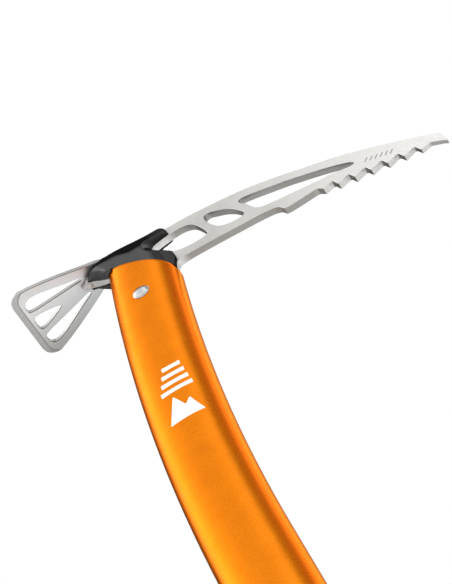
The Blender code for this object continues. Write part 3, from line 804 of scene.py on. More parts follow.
def print_material():
    mat = Material("white_print")
    wear = mat.noise(size=0.5, detail=4.0, rough=0.6)
    colour = mat.mix(mat.remap(wear, span=(0.35, 0.75)), (0.95, 0.945, 0.93),
                     (0.88, 0.87, 0.84))
    return mat.set(Base_Color=colour, Roughness=mat.remap(wear, to=(0.35, 0.5)),
                   Normal=mat.bump(mat.noise(size=0.3, detail=2.0), mm=0.01, strength=0.6))


STEEL = steel_material("satin_steel", tint=pick_tint)
STEEL_CUT = steel_material("cut_steel", base=(0.36, 0.352, 0.338), rough=0.38, striped=True,
                           tint=cut_wall_painted_light)
ADZE_STEEL = steel_material("adze_steel", base=(0.61, 0.60, 0.575), tint=adze_tint_and_painted_light)
WELD = weld_material()
ORANGE = orange_material()
POLYMER = polymer_material("black_polymer", base=0.007, rough=0.27, grain=0.014, prongs=0.28)
PLUG_POLYMER = polymer_material("plug_polymer", base=0.012, rough=0.45, grain=0.03)
REST_POLYMER = polymer_material("rest_polymer", base=0.010, rough=0.42, grain=0.03, size=0.5)
ELASTOMER = polymer_material("elastomer", base=0.020, rough=0.75, grain=0.03, size=0.25)
BRIGHT = bright_material()
PRINT = print_material()
ETCH = steel_material("etched_steel", base=(0.46, 0.45, 0.435), rough=0.5)

# ------------------------------------------------------------------ head blade
# pick tip: (point, corner radius)
TIP = [((138.0, -18.0), 2.0), ((138.3, -22.2), 0.36), ((136.8, -19.9), 0.9),
       ((132.2, -15.7), 0.8)]
TOOTH_COUNT = 6
TOOTH_NOTCH = (91.3, 0.6)       # the notch nearest the shaft
TOOTH_PITCH = (6.97, -2.58)
# one tooth: (offset from its notch, corner radius)
TOOTH = [((-0.5, 0.05), 1.1), ((0.3, -0.5), 0.9), ((1.25, -4.3), 0.38)]
LAST_TOOTH = [((86.4, -0.5), 0.38), ((84.9, 1.9), 0.8)]
TANG_HALF, TANG_END, TANG_CHAMFER = 12.8, -38.0, 3.0
# tang inside the shaft: (ahead of the centre line, level)
TANG = [(TANG_HALF, 2.0), (TANG_HALF, -18.0), (TANG_HALF, TANG_END + TANG_CHAMFER),
        (TANG_HALF - TANG_CHAMFER, TANG_END), (-TANG_HALF + TANG_CHAMFER, TANG_END),
        (-TANG_HALF, TANG_END + TANG_CHAMFER), (-TANG_HALF, -18.0), (-TANG_HALF, 2.0),
        (-TANG_HALF, 20.0)]
TAIL_EDGE = [(-7.0, 34.6), (-7.8, 36.4), (-9.6, 36.9), (-18.6, 42.6)]
CARABINER_HOLE = [(13.0, 36.4), (15.2, 37.8), (27.4, 38.4), (31.0, 37.0), (33.4, 34.6),
                  (35.0, 30.4), (36.5, 23.2), (36.2, 21.6), (33.5, 21.0), (29.2, 21.3),
                  (24.2, 22.7), (19.5, 25.1), (15.4, 28.2), (13.0, 31.6), (12.4, 34.2)]
LEAF_HOLE = [(38.8, 33.0), (39.4, 35.3), (41.2, 35.8), (45.1, 33.2), (48.2, 30.6),
             (51.0, 27.0), (53.1, 22.8), (54.1, 19.6), (53.4, 18.0), (50.2, 17.7),
             (46.4, 18.7), (42.9, 20.8), (40.6, 24.4), (39.2, 29.0)]
BLADE_SLOT = [(55.0, 28.6), (55.6, 30.3), (57.4, 30.4), (61.3, 28.9), (69.4, 25.2),
              (76.7, 21.7), (82.6, 18.4), (89.0, 14.7), (94.6, 11.2), (99.0, 8.0),
              (102.6, 4.8), (103.3, 3.0), (101.8, 2.5), (97.5, 3.9), (92.6, 5.7),
              (85.8, 7.4), (79.6, 9.2), (72.3, 11.4), (65.0, 13.7), (61.4, 15.3),
              (59.5, 17.2), (58.3, 20.0), (57.0, 24.0)]


def half_at(x, z):
    """Sheet half thickness: the pick is ground thinner towards its tip."""
    t = ease((x - 104.0 + 0.25 * (z + 2.0)) / 36.0)
    return PLATE_T / 2 * (1 - t) + 1.0 * t


def blade_outline():
    teeth = []
    for k in range(TOOTH_COUNT):
        x = TOOTH_NOTCH[0] + k * TOOTH_PITCH[0]
        z = TOOTH_NOTCH[1] + k * TOOTH_PITCH[1]
        teeth += [((x + dx, z + dz), radius) for (dx, dz), radius in TOOTH]
    corners = [(point, 0.0) for point in smooth(SPINE, 0.6)[:-1]] + [(SPINE[-1], 1.6)]
    corners += TIP + teeth[::-1] + LAST_TOOTH
    corners += [(point, 0.0) for point in smooth(LOWER_EDGE)[1:]]
    corners += [(on_axis(level, fore, 0.0)[0::2], 0.4) for fore, level in TANG]
    corners += [(point, 0.5) for point in TAIL_EDGE]
    points, radii = zip(*corners)
    return fillet(points, radii)


blade = plate("head_blade_fine", blade_outline(),
              [smooth(hole, 0.4, True) for hole in (CARABINER_HOLE, LEAF_HOLE, BLADE_SLOT)],
              lambda x, z: -half_at(x, z), half_at, upright, [STEEL, STEEL_CUT])
settle(blade, "head_blade")

# ------------------------------------------------------------------ adze
ADZE_T, ADZE_SLOPE = 2.4, 0.18
ADZE_ROOT = (-18.0, 46.2)       # (x, z) on its middle plane
BEVEL_SLOPE = 0.44
# plan outlines, (x, y): the far half of the plate, the far window, the middle window
ADZE_PLAN = [(-7.2, 3.0), (-9.0, 5.0), (-16.4, 8.0), (-27.2, 12.1), (-36.6, 15.3),
             (-43.2, 17.1), (-46.4, 17.5), (-48.6, 16.7), (-50.3, 14.8), (-51.0, 12.2)]
ADZE_SIDE_WINDOW = [(-20.0, 3.7), (-19.9, 4.4), (-26.0, 6.9), (-34.0, 10.0), (-40.0, 12.1),
                    (-43.6, 12.5), (-45.6, 11.4), (-46.4, 9.4), (-46.1, 7.2), (-44.6, 6.5),
                    (-34.0, 5.1), (-26.0, 4.2)]
ADZE_MID_WINDOW = [(-33.6, 0.0), (-34.4, -0.7), (-45.0, -3.4), (-46.2, -2.6), (-46.5, 0.0),
                   (-46.2, 2.6), (-45.0, 3.4), (-34.4, 0.7)]

plan = smooth(ADZE_PLAN, 0.4)
plan = plan + [(x, -y) for x, y in reversed(plan)]
nose_distance = distance_to([point for point in plan if point[0] < -40.0])


def adze_lay(x, y, depth):
    z = ADZE_ROOT[1] + ADZE_SLOPE * (x - ADZE_ROOT[0])
    return place(x, y, z + depth * math.hypot(1.0, ADZE_SLOPE))


def from_nose(x, y):
    """Distance from the adze's cutting end, measured over its rounded corners too."""
    if x > -36.0:
        return 15.0
    return nose_distance(x, y) + 3.6 * ease((x + 49.5) / 6.5)


def adze_low(x, y):
    return -ADZE_T / 2 + max(0.0, (BEVEL_RUN_ADZE - from_nose(x, y)) * BEVEL_SLOPE)


# point pairs along the bevel's root, where the ground face meets the flat one
root_line = []
for y in np.arange(-16.5, 16.6, 0.5):
    low, high = bisect(-51.0, -38.0, 24, lambda x: from_nose(x, y) < BEVEL_RUN_ADZE)
    if low > -50.9 and high < -38.1:
        root_line += [(low - 0.12, y), (low + 0.12, y)]
adze = plate("adze_plate_fine", fillet(plan, 0.4, 3),
             [smooth(ADZE_SIDE_WINDOW, 0.3, True),
              smooth([(x, -y) for x, y in ADZE_SIDE_WINDOW], 0.3, True),
              smooth(ADZE_MID_WINDOW, 0.25, True)],
             adze_low, lambda x, y: ADZE_T / 2, adze_lay, [ADZE_STEEL, STEEL_CUT],
             radius=0.36, pitch=1.2, fixed=root_line)
mend(adze)
nose_mark = adze.data.attributes.new("nose", "FLOAT", "POINT")
nose_mark.data.foreach_set("value", [
    from_nose(vert.co.x * 1000 - AXIS_X + CENTRE_X, vert.co.y * 1000)
    for vert in adze.data.vertices])
settle(adze, "adze_plate")

# ------------------------------------------------------------------ weld
# lumps of the bead: x, y, z, radius
WELD_LUMPS = [(-19.4, 0.0, 43.6, 1.75), (-20.2, 0.0, 43.3, 1.5), (-18.2, 0.0, 42.6, 1.55),
              (-18.3, 1.3, 44.0, 1.3), (-18.3, -1.3, 44.0, 1.3), (-17.0, 1.7, 44.4, 0.95),
              (-17.0, -1.7, 44.4, 0.95)]

bead = bmesh.new()
for x, y, z, radius in WELD_LUMPS:
    ball = bmesh.new()
    bmesh.ops.create_uvsphere(ball, u_segments=24, v_segments=16, radius=radius / 1000.0)
    bmesh.ops.translate(ball, vec=place(x, y, z), verts=ball.verts[:])
    lump = bpy.data.meshes.new("lump")
    ball.to_mesh(lump)
    ball.free()
    bead.from_mesh(lump)
bead_mesh = bpy.data.meshes.new("adze_weld_fine")
bead.to_mesh(bead_mesh)
bead.free()
weld = link("adze_weld_fine", bead_mesh)
soften(weld, 0.24, 16, WELD)
settle(weld, "adze_weld")

# ------------------------------------------------------------------ head cap
CAP_REAR, CAP_FRONT = -18.3, 22.5
# top of the cap, (x, z)
CAP_CROWN = [(-18.3, 44.4), (-16.8, 45.1), (-15.0, 46.3), (-13.0, 48.2), (-11.0, 50.0),
             (-8.5, 51.2), (-3.0, 51.5), (4.0, 50.7), (8.0, 49.7), (12.0, 49.0), (17.0, 48.7),
             (19.6, 48.4), (21.2, 47.0), (22.1, 44.8), (22.5, 41.6)]
# (x, half width)
CAP_HALF = [(-18.3, 3.0), (-17.4, 4.2), (-15.0, 5.6), (-12.6, 6.6), (-10.5, 7.1), (-4.0, 7.3),
            (8.0, 7.2), (12.0, 6.4), (15.0, 4.9), (18.0, 4.3), (21.2, 4.0), (22.5, 3.0)]
# (x, height of the side's crease above the mouth)
CAP_CREASE = [(-18.3, 2.0), (-12.0, 4.0), (-6.0, 8.0), (-2.0, 10.6), (5.0, 11.0), (23.0, 11.0)]
# (x, half width where the sloping sides meet the crown's round)
CAP_RIDGE = [(-18.3, 2.6), (-15.0, 4.6), (-12.0, 4.6), (-9.0, 3.8), (-6.0, 3.2), (4.0, 2.8),
             (12.0, 2.6), (23.0, 2.3)]
REAR_LIP = [(-18.3, 43.05), (-6.0, 30.93)]      # lower edge of the rear lobe, (x, z)
REAR_HALF = 2.4
# opening between the front prongs, (x, z)
CAP_NOTCH = [(40.0, 4.0), (17.9, 10.6), (18.2, 12.4), (19.8, 18.6), (19.9, 21.9),
             (19.3, 23.2), (16.4, 27.0), (13.8, 28.9), (12.7, 31.6), (12.6, 34.8),
             (13.6, 37.2), (15.6, 38.2), (21.8, 39.0), (40.0, 39.5)]
CAP_EDGE = 2.7          # half width of the upper prong's lower edge
# room for the blade, (x, z)
POCKET = [(-26.0, 43.0), (-18.6, 44.5), (-7.0, 46.5), (0.0, 46.9), (10.0, 46.2), (16.0, 45.4),
          (23.5, 44.3), (30.0, 43.3), (30.0, -20.0), (-26.0, -20.0)]
FAR_CORNER = [(16.4, 4.0), (30.0, 4.0), (30.0, 19.6), (18.6, 19.6), (17.0, 14.0)]
STATION_STEP = 0.45
SIDE_STEPS = 44

MOUTH_S = smooth(MOUTH, 0.25)
CROWN_S = smooth(CAP_CROWN, 0.25)
HALF_S = smooth(CAP_HALF, 0.25)
NOTCH_S = [CAP_NOTCH[0]] + smooth(CAP_NOTCH[1:-1], 0.3) + [CAP_NOTCH[-1]]
notch_distance = distance_to(NOTCH_S)


def cap_lip(x, near):
    """Lower edge of the cap's side before the tube's wall is cut out of it. The far
    side of the rear lobe stops higher, level with the blade's end."""
    if x < -6.0 and near:
        return line_at(REAR_LIP, x)
    lip = max(line_at(MOUTH_S, x), 10.4)
    return lip - 3.2 + 3.7 * ease((x - 14.5) / 2.0) + 3.5 * ease((-6.0 - x) / 3.0)


def cap_half(x, z, near):
    """Half width of the cap at (x, z)."""
    top = line_at(CROWN_S, x)
    full = line_at(HALF_S, x)
    swell = min(1.0, notch_distance(x, z) / 3.8)
    swell *= 2.0 - swell
    # thin only along the upper prong's lower edge
    edge = full + (min(CAP_EDGE, full) - full) * ease((z - 28.0) / 7.0)
    full = edge + (full - edge) * swell
    # sides stand upright to the crease, then lean in to a narrow ridge
    crease = min(max(line_at(MOUTH_S, x) + line_at(CAP_CREASE, x), 35.5), top - 3.5)
    rise = z - crease
    lean = 1.1 * math.log1p(math.exp(min(30.0, rise / 1.1)))
    ridge = min(line_at(CAP_RIDGE, x), full)
    half = full - (full - ridge) * min(1.0, lean / (top - crease))
    if rise < 0:
        half -= 0.035 * min(9.0, -rise)
    # the rear lobe tucks in to the blade below
    rear = ease((-8.6 - x) / 4.0)
    if rear > 0:
        up = max(0.0, min(1.0, (z - cap_lip(x, near)) / 5.2))
        tucked = REAR_HALF + (half - REAR_HALF) * math.sqrt(max(0.0, 1.0 - (1.0 - up) ** 2))
        half += (min(half, tucked) - half) * rear
    # the crown is rounded over its last 2 mm
    crown = (z - (top - 2.0)) / 2.0
    if crown > 0:
        half *= math.sqrt(max(0.0, 1.0 - min(1.0, crown) ** 2))
    return max(half, 0.35)


def cap_side(x, near):
    """One side of a station from its lip up to the crown, as (y, z)."""
    low, top = cap_lip(x, near), line_at(CROWN_S, x)
    side = []
    for k in range(SIDE_STEPS + 1):
        z = low + (top - low) * math.sin(0.5 * math.pi * k / SIDE_STEPS)
        side.append((cap_half(x, z, near) * (-1 if near else 1), z))
    return side


def wall_cutter(grow, outline):
    """The tube's grown wall below an outline that cuts its top off."""
    angles = even_angles(96)
    levels = (46.0, 34.0, 22.0, 10.0, -4.0, -20.0)
    stack = [(z, grow) for z in levels] + [(z, -1.0) for z in reversed(levels)]
    wall = skin("cut_wall", [[place(*on_axis(z, *oval(out, angle))) for angle in angles]
                             for z, out in stack], [], closed=True)
    combine(wall, prism("cut_mouth", outline, 20.0, upright))
    return wall


stations = list(np.arange(CAP_REAR, CAP_FRONT, STATION_STEP)) + [CAP_FRONT]
cap = skin("head_cap_fine",
           [[place(x, y, z) for y, z in cap_side(x, True) + cap_side(x, False)[::-1]]
            for x in stations], [POLYMER])
# the wide cutter spares the rear lobe behind x = -6.6; the close one follows the whole mouth
mouth_line = [(x, z - 0.05) for x, z in MOUTH_S]
sky = [(40.0, 3.4), (40.0, 80.0), (-30.0, 80.0)]
combine(cap, wall_cutter(6.0, [point for point in mouth_line if point[0] > -6.6] + sky
                         + [(-30.0, -40.0), (-6.6, -40.0)]))
combine(cap, wall_cutter(0.12, mouth_line + sky + [(-30.0, 42.0)]))
combine(cap, prism("cut_notch", tidy(NOTCH_S), 14.0, upright))
combine(cap, prism("cut_pocket", POCKET, PLATE_T / 2 - 0.04, upright))
combine(cap, prism("cut_far_corner", FAR_CORNER, 6.0,
                   lambda x, z, depth: place(x, depth + 7.5, z)))
soften(cap, 0.24, 9, POLYMER)
settle(cap, "head_cap")

# ------------------------------------------------------------------ shaft
AROUND = 144
ALONG = 230
INNER_ALONG = 24
# the slanted foot rises towards the rear from this distance ahead of the axis
SLANT_START, SLANT_RUN, SLANT_RISE = 10.0, 29.8, 31.0
# rounded rims: (inset from the outer surface, distance from the end)
OUTER_RIM = [(0.0, 0.45), (0.06, 0.2), (0.22, 0.05), (0.45, 0.0)]
INNER_RIM = [(SHAFT_WALL - 0.22, 0.0), (SHAFT_WALL - 0.08, 0.08), (SHAFT_WALL, 0.25)]
EYELET_X, EYELET_Z, EYELET_BORE = 3.0, 20.0, 4.1      # foot frame


@cache
def top_level(fore, side):
    """Centre-line level at which this side line of the tube meets the mouth."""
    def below(level):
        x, _, z = on_axis(level, fore, side)
        return z < line_at(MOUTH_S, x)
    low, high = bisect(-40.0, 62.0, 40, below)
    return 0.5 * (low + high)


def end_level(fore):
    return -RIVET_Z + max(0.0, (SLANT_START - fore) * SLANT_RISE / SLANT_RUN)


tube_angles = even_angles(AROUND)


def tube_ring(inset, share, lift=0.0):
    """Ring at a share of the way from the mouth to the foot, then lifted."""
    ring = []
    for angle in tube_angles:
        fore, side = oval(-inset, angle)
        top, end = top_level(fore, side), end_level(fore)
        ring.append(place(*on_axis(top + (end - top) * share + lift, fore, side)))
    return ring


def eyelet_line(along, side, up):
    """Along the eyelet's axis, which crosses the shaft in y."""
    return foot(EYELET_X + side, along, EYELET_Z + up)


def drill_foot(obj, name, sharp):
    combine(obj, rod(name, EYELET_BORE, -12.0, 12.0, eyelet_line, 48))
    shade(obj.data, sharp)


rings = [tube_ring(inset, 0.0, -gap) for inset, gap in reversed(OUTER_RIM)]
rings += [tube_ring(0.0, k / ALONG) for k in range(1, ALONG)]
rings += [tube_ring(inset, 1.0, gap) for inset, gap in OUTER_RIM + INNER_RIM]
rings += [tube_ring(SHAFT_WALL, 1 - k / INNER_ALONG) for k in range(1, INNER_ALONG)]
rings += [tube_ring(inset, 0.0, -gap) for inset, gap in reversed(INNER_RIM)]
shaft = skin("shaft_tube_fine", rings, [ORANGE], closed=True, sharp=50.0)
drill_foot(shaft, "cut_bore", 50)
settle(shaft, "shaft_tube")

# ------------------------------------------------------------------ head rivet
# (radius, height above the shaft's side), from the crown to below the rim
RIVET_DOME = [(0.0, 1.25), (0.9, 1.22), (1.8, 1.08), (2.6, 0.86), (3.2, 0.58), (3.6, 0.30),
              (3.78, 0.12), (3.70, -0.10), (3.2, -0.30)]

rivet = turned_part("head_rivet_fine", both_ends(SHAFT_HALF_Y + 0.02, RIVET_DOME), [BRIGHT],
                    lambda along, side, up: place(side, along, up), 72, 60.0)
settle(rivet, "head_rivet")

# ------------------------------------------------------------------ foot plug, pin, eyelet
PLUG_INSET = SHAFT_WALL + 0.06
PLUG_TOP, PIN_Z = 36.0, 31.0    # foot frame
# slanted end of the plug: (inset, height above the shaft's end)
PLUG_END = [(1.2, 0.35), (0.5, 0.38), (0.15, 0.5), (0.0, 0.9), (0.0, 2.5)]
# (radius, height above the shaft's side)
PIN_END = [(0.0, 0.1), (1.2, 0.1), (1.45, -0.1)]
EYELET_LIP = [(3.3, 0.15), (3.36, 0.5), (3.6, 0.78), (4.1, 0.9), (4.8, 0.85), (5.4, 0.6),
              (5.75, 0.25), (5.8, -0.06), (4.05, -0.06)]

plug_angles = even_angles(96, -PLUG_INSET)


def plug_ring(inset, level):
    """Plug section; level gives z in the foot frame from the distance fore."""
    section = [oval(-PLUG_INSET - inset, angle) for angle in plug_angles]
    return [foot(fore, side, level(fore)) for fore, side in section]


rings = [plug_ring(inset, lambda fore: end_level(fore) + RIVET_Z + rise)
         for inset, rise in PLUG_END]
rings += [plug_ring(0.0, lambda fore: PLUG_TOP), plug_ring(0.4, lambda fore: PLUG_TOP + 0.4)]
plug = skin("foot_plug_fine", rings, [PLUG_POLYMER])
drill_foot(plug, "cut_plug_bore", 45)
settle(plug, "foot_plug")

pin = turned_part("foot_plug_pin_fine", both_ends(SHAFT_HALF_Y, PIN_END), [BRIGHT],
                  lambda along, side, up: foot(side, along, PIN_Z + up), 40)
settle(pin, "foot_plug_pin")

eyelet = turned_part("leash_eyelet_fine", both_ends(SHAFT_HALF_Y, EYELET_LIP, first=1),
                     [BRIGHT], eyelet_line, 72, 60.0)
settle(eyelet, "leash_eyelet")

# ------------------------------------------------------------------ hand rest
REST_Z, REST_H, REST_WALL = 105.0, 20.0, 2.4    # REST_Z is the middle, foot frame
GAP, LINER_T = 0.3, 1.0
REST_INNER = GAP + LINER_T + GAP                # sleeve's inside, off the shaft
HOOK_X = SHAFT_HALF_X + REST_INNER + 0.8
BOSS_X = -SHAFT_HALF_X - REST_INNER - 3.4       # clamp boss behind the sleeve
NUT_X = -SHAFT_HALF_X - REST_INNER - 3.6
# finger hook: (ahead of HOOK_X, above REST_Z)
HOOK = [(0.0, 8.6), (4.5, 7.2), (11.0, 2.6), (17.5, -3.6), (20.5, -8.6), (20.2, -11.4),
        (18.0, -12.2), (15.4, -10.0), (11.6, -6.6), (6.6, -5.2), (3.0, -6.6), (0.0, -8.8)]


def rest_line(along, side, up):
    """Along the clamp screw's axis, which runs in x."""
    return foot(along, side, REST_Z + up)


def sleeve(name, inner, outer, bottom, top, mats, chamfer):
    """A band around the shaft; inner and outer are offsets from its surface."""
    middle = 0.5 * (bottom + top)
    path = [(inner, bottom + chamfer), (inner + chamfer, bottom), (outer - chamfer, bottom),
            (outer, bottom + chamfer), (outer, middle), (outer, top - chamfer),
            (outer - chamfer, top), (inner + chamfer, top), (inner, top - chamfer),
            (inner, middle)]
    angles = even_angles(96)
    return skin(name, [[foot(*oval(grow, angle), z) for angle in angles] for grow, z in path],
                mats, closed=True)


liner = sleeve("rest_liner_fine", 0.12, GAP + LINER_T + 0.2, REST_Z - REST_H / 2 - 0.25,
               REST_Z + REST_H / 2 + 0.25, [ELASTOMER], 0.25)
settle(liner, "rest_liner", "hand_rest")

rest = sleeve("rest_body_fine", REST_INNER, REST_INNER + REST_WALL, REST_Z - REST_H / 2,
              REST_Z + REST_H / 2, [REST_POLYMER], 0.5)
hook = smooth([(HOOK_X + x, REST_Z + z) for x, z in HOOK], 0.8, True)
combine(rest, prism("hook", tidy(hook), 6.0, foot_plane), "UNION")
boss = rectangle(BOSS_X - 3.2, BOSS_X + 3.2, REST_Z - 6.0, REST_Z + 6.0)
combine(rest, prism("boss", fillet(boss, [1.5, 0.0, 0.0, 1.5]), 5.5, foot_plane), "UNION")
combine(rest, rod("screw_hole", 2.15, BOSS_X - 7.0, BOSS_X + 3.2, rest_line, 32))
nut_slot = rectangle(NUT_X - 1.3, NUT_X + 1.3, REST_Z - 4.2, REST_Z + 10.2)
combine(rest, prism("nut_slot", nut_slot, 4.0, foot_plane))
for k in range(4):
    # shallow grip grooves across the top of the finger hook
    x = HOOK_X + 5.6 + 3.6 * k
    z = REST_Z + 7.3 - 3.0 * k - 0.12 * k * k
    combine(rest, rod("groove", 0.75, -8.0, 8.0,
                      lambda along, side, up: foot(x + side, along, z + up), 20))
soften(rest, 0.3, 7, REST_POLYMER)
settle(rest, "rest_body", "hand_rest")

nut = prism("rest_nut_fine", fillet(hexagon(3.7), 0.25, 3), 1.05,
            lambda side, up, depth: rest_line(NUT_X + depth, side, up))
combine(nut, rod("nut_bore", 2.1, NUT_X - 4.0, NUT_X + 4.0, rest_line, 32))
nut.data.materials.append(BRIGHT)
bevel = nut.modifiers.new("bevel", "BEVEL")
bevel.width = 0.00018
bevel.segments = 2
bevel.limit_method = "ANGLE"
bevel.angle_limit = math.radians(35)
apply_all(nut)
shade(nut.data, 35)
settle(nut, "rest_nut", "hand_rest")

# screw, (radius, x): end, nine thread ridges, then the head
screw_profile = [(0.0, BOSS_X + 2.9), (1.0, BOSS_X + 2.9), (1.8, BOSS_X + 2.7)]
for k in range(9):
    x = BOSS_X + 2.5 - 0.8 * k
    screw_profile += [(1.98, x), (1.98, x - 0.2), (1.7, x - 0.4), (1.7, x - 0.55)]
screw_profile += [(radius, BOSS_X - back) for radius, back in
                  [(1.9, 4.9), (3.35, 4.92), (3.55, 5.1), (3.55, 6.6), (3.3, 6.95),
                   (2.6, 7.1), (0.0, 7.1)]]
screw = turned_part("rest_screw_fine", screw_profile, [BRIGHT], rest_line, 48, 45.0)
combine(screw, prism("socket", hexagon(1.55), 1.0,
                     lambda side, up, depth: rest_line(BOSS_X - 7.0 + depth, side, up)))
shade(screw.data, 40)
settle(screw, "rest_screw", "hand_rest")

# hidden packing keeps its CAD form
for name in ("tang_spacer_left", "tang_spacer_right"):
    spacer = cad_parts[name]
    spacer.data.materials.clear()
    spacer.data.materials.append(PLUG_POLYMER)

# ------------------------------------------------------------------ marks
MARK_Z, MARK_FORE = -82.0, 1.2          # shaft mark's level and distance ahead of the axis
PICK_MARK, PICK_TURN = (112.4, -2.7), math.radians(-27.0)


def film(name, loops, lay, material, thick, sunk=0.05):
    """Thin closed film laid on a surface. lay(along, across, lift) places a point."""
    verts, faces = [], []
    for loop in loops:
        loop = turned(tidy(loop), True)
        flat, _, triangles = triangulate([loop], 0.8, 0.3)
        top = len(verts)
        under = top + len(flat)
        for lift in (thick, -sunk):
            verts += [lay(along, across, lift) for along, across in flat]
        for face in triangles:
            faces.append(tuple(top + i for i in face))
            faces.append(tuple(under + i for i in reversed(face)))
        sides = dict.fromkeys(pair for face in triangles
                              for pair in zip(face, face[1:] + face[:1]))
        for i, j in sides:
            if (j, i) not in sides:
                faces.append((top + j, top + i, under + i, under + j))
    return new_object(name, verts, faces, [material], sharp=50.0)


def on_shaft(along, across, lift):
    """On the near side of the shaft."""
    fore = MARK_FORE + across
    half_x, half_y = SHAFT_HALF_X + lift, SHAFT_HALF_Y + lift
    side = -half_y * (1 - abs(fore / half_x) ** SHAFT_POWER) ** (1 / SHAFT_POWER)
    return place(*on_axis(MARK_Z + along, fore, side))


def on_pick(along, across, lift):
    """On the near face of the pick."""
    x = PICK_MARK[0] + along * math.cos(PICK_TURN) - across * math.sin(PICK_TURN)
    z = PICK_MARK[1] + along * math.sin(PICK_TURN) + across * math.cos(PICK_TURN)
    return place(x, -half_at(x, z) - lift, z)


# a mountain outline and four bars in a row, (along, across)
marks = [fillet([(-11.0, -7.4), (-11.0, 7.4), (0.0, 3.5), (-3.6, 1.2), (5.0, -2.6)], 0.35, 3)]
for k in range(4):
    low, high = 7.6 + 4.9 * k, 10.3 + 4.9 * k
    bottom, top = -6.8 + 1.2 * k, 6.8 - 0.7 * k
    marks.append(fillet(rectangle(low, high, bottom, top), 0.35, 3))
settle(film("shaft_mark", marks, on_shaft, PRINT, thick=0.03), None)

# six slanted strokes
strokes = []
for k in range(6):
    start = -6.0 + 2.3 * k
    strokes.append(fillet([(start, -1.5), (start + 0.75, -1.5), (start + 1.55, 1.5),
                           (start + 0.8, 1.5)], 0.12, 3))
settle(film("pick_mark", strokes, on_pick, ETCH, thick=0.012), None)


# ------------------------------------------------------------------ floor
def floor_material():
    """Pale floor, clear from below and fading out 0.7 to 2.2 m from the middle."""
    mat = Material("pale_floor")
    cloud = mat.noise(size=60.0, detail=4.0, rough=0.5)
    mat.set(Base_Color=mat.mix(cloud, (0.80, 0.795, 0.785), (0.86, 0.855, 0.845)),
            Roughness=0.7, Normal=mat.bump(mat.noise(size=1.2), mm=0.05, strength=0.3))
    behind = mat.node("ShaderNodeNewGeometry").outputs["Backfacing"]
    clear = mat.node("ShaderNodeBsdfTransparent").outputs[0]
    length = mat.node("ShaderNodeVectorMath", {0: mat.coord}, operation="LENGTH")
    far = mat.remap(length.outputs["Value"], span=(0.7, 2.2))
    hide = mat.math("MAXIMUM", behind, far)
    blend = mat.node("ShaderNodeMixShader", {0: hide, 1: mat.bsdf.outputs[0], 2: clear})
    mat.feed(mat.out.inputs[0], blend.outputs[0])
    return mat.material


FLOOR_HALF, FLOOR_Z = 10, -0.0012       # metres
floor_mesh = bpy.data.meshes.new("floor")
floor_mesh.from_pydata([(x, y, FLOOR_Z) for x, y in rectangle(-FLOOR_HALF, FLOOR_HALF,
                                                              -FLOOR_HALF, FLOOR_HALF)],
                       [], [(0, 1, 2, 3)])
floor = link("floor", floor_mesh)
floor_mesh.materials.append(floor_material())

# ------------------------------------------------------------------ studio sky
SKY_STRENGTH = 4.0      # colours hold brightness divided by this
# (azimuth in degrees from the near side towards the pick, brightness)
HIGH_RING = [(-180, 0.15), (-118, 0.12), (-101, 0.5), (-85, 2.9), (-64, 2.9), (-46, 2.0),
             (-28, 1.35), (-12, 1.0), (0, 0.95), (10, 1.15), (20, 1.55), (29, 1.4), (34, 0.4),
             (64, 0.36), (74, 1.0), (92, 1.6), (125, 1.8), (145, 0.5), (180, 0.1)]
LOW_RING = [(-180, 0.6), (-120, 0.8), (-70, 1.2), (-30, 1.2), (30, 1.2), (70, 1.0),
            (120, 0.8), (180, 0.6)]
ZENITH, GROUND = 0.04, 0.6      # brightness

world = bpy.data.worlds.new("studio")
scene.world = world
world.use_nodes = True
studio = Tree(world.node_tree)
direction = studio.node("ShaderNodeTexCoord").outputs["Generated"]
direction = studio.node("ShaderNodeSeparateXYZ", {0: direction}).outputs
azimuth = studio.math("ARCTAN2", direction[0], studio.times(direction[1], -1.0))
turn = studio.math("MULTIPLY_ADD", azimuth, 1.0 / (2 * math.pi), 0.5)


def grey(brightness):
    return (brightness / SKY_STRENGTH,) * 3


def ring_of_light(levels):
    ramp = studio.node("ShaderNodeValToRGB", {0: turn})
    stops = ramp.color_ramp.elements
    while len(stops) < len(levels):
        stops.new(0.5)
    for stop, (degrees, brightness) in zip(stops, levels):
        stop.position = (degrees + 180) / 360
        stop.color = (*grey(brightness), 1)
    return ramp.outputs[0]


def step_mix(start, end, below, above):
    """Blends two levels of the sky between two elevations in degrees."""
    step = studio.node("ShaderNodeMapRange",
                       {"Value": direction[2], "From Min": math.sin(math.radians(start)),
                        "From Max": math.sin(math.radians(end))},
                       interpolation_type="SMOOTHSTEP")
    return studio.mix(step.outputs[0], below, above)


upper = step_mix(68, 80, ring_of_light(HIGH_RING), grey(ZENITH))
above_ground = step_mix(22, 36, ring_of_light(LOW_RING), upper)
studio_sky = step_mix(-6, 4, grey(GROUND), above_ground)
lit = studio.node("ShaderNodeBackground", {0: studio_sky, 1: SKY_STRENGTH})
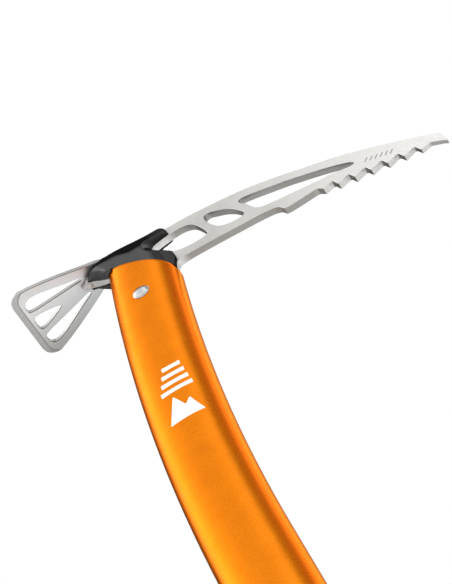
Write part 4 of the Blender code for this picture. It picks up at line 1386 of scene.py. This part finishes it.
# the camera itself sees plain white
white = studio.node("ShaderNodeBackground", {0: (1.0, 1.0, 1.0), 1: 1.0})
camera_ray = studio.node("ShaderNodeLightPath").outputs["Is Camera Ray"]
blend = studio.node("ShaderNodeMixShader",
                    {0: camera_ray, 1: lit.outputs[0], 2: white.outputs[0]})
studio.node("ShaderNodeOutputWorld", {0: blend.outputs[0]})

# ------------------------------------------------------------------ lights
SOFTBOX_SIZE = 0.9
SOFTBOX_AIM = Vector((0.0, 0.0, 0.25))


def softbox(name, location, power):
    light = bpy.data.lights.new(name, "AREA")
    light.shape = "RECTANGLE"
    light.size = SOFTBOX_SIZE
    light.size_y = SOFTBOX_SIZE
    light.energy = power
    obj = link(name, light)
    obj.location = location
    obj.rotation_mode = "QUATERNION"
    obj.rotation_quaternion = (SOFTBOX_AIM - Vector(location)).to_track_quat("-Z", "Y")
    obj.visible_glossy = False      # the studio sky gives every reflection


softbox("key", location=(-1.3, -1.0, 2.2), power=22.0)
softbox("rim", location=(1.2, 1.5, 1.9), power=14.0)

# ------------------------------------------------------------------ camera
# It looks up from below the foot level at the head. Its own axes are (right, down, forward).
X_SEEN = (0.8315, -0.5555, 0.0)         # the +X direction along those axes
Y_SEEN = (0.469, 0.702, 0.536)          # the +Y direction, before squaring to X_SEEN
AIM = (0.0, -9.0, 0.0)                  # a point in the head frame
AIM_SEEN = (-35.187474, -0.206016, 782.859497)      # the same point from the camera, mm
LENS, SENSOR = 151.3274336, 36.0

x_seen = np.array(X_SEEN)
x_seen /= np.linalg.norm(x_seen)
y_seen = np.array(Y_SEEN)
y_seen -= x_seen * (y_seen @ x_seen)
y_seen /= np.linalg.norm(y_seen)
seen = np.stack([x_seen, y_seen, np.cross(x_seen, y_seen)])
eye = np.array(AIM) - seen @ np.array(AIM_SEEN)

camera = bpy.data.cameras.new("view")
camera.sensor_fit = "HORIZONTAL"
camera.sensor_width = SENSOR
camera.lens = LENS
camera.clip_start = 0.05
camera.clip_end = 60.0
view = link("view", camera)
# a Blender camera's axes are right, up and back
rotation = Matrix((seen * (1, -1, -1)).tolist())
view.matrix_world = Matrix.Translation(place(*eye)) @ rotation.to_4x4()
scene.camera = view

scene.view_settings.view_transform = "Standard"
scene.view_settings.look = "None"
scene.view_settings.exposure = 0.0
scene.view_settings.gamma = 1.0
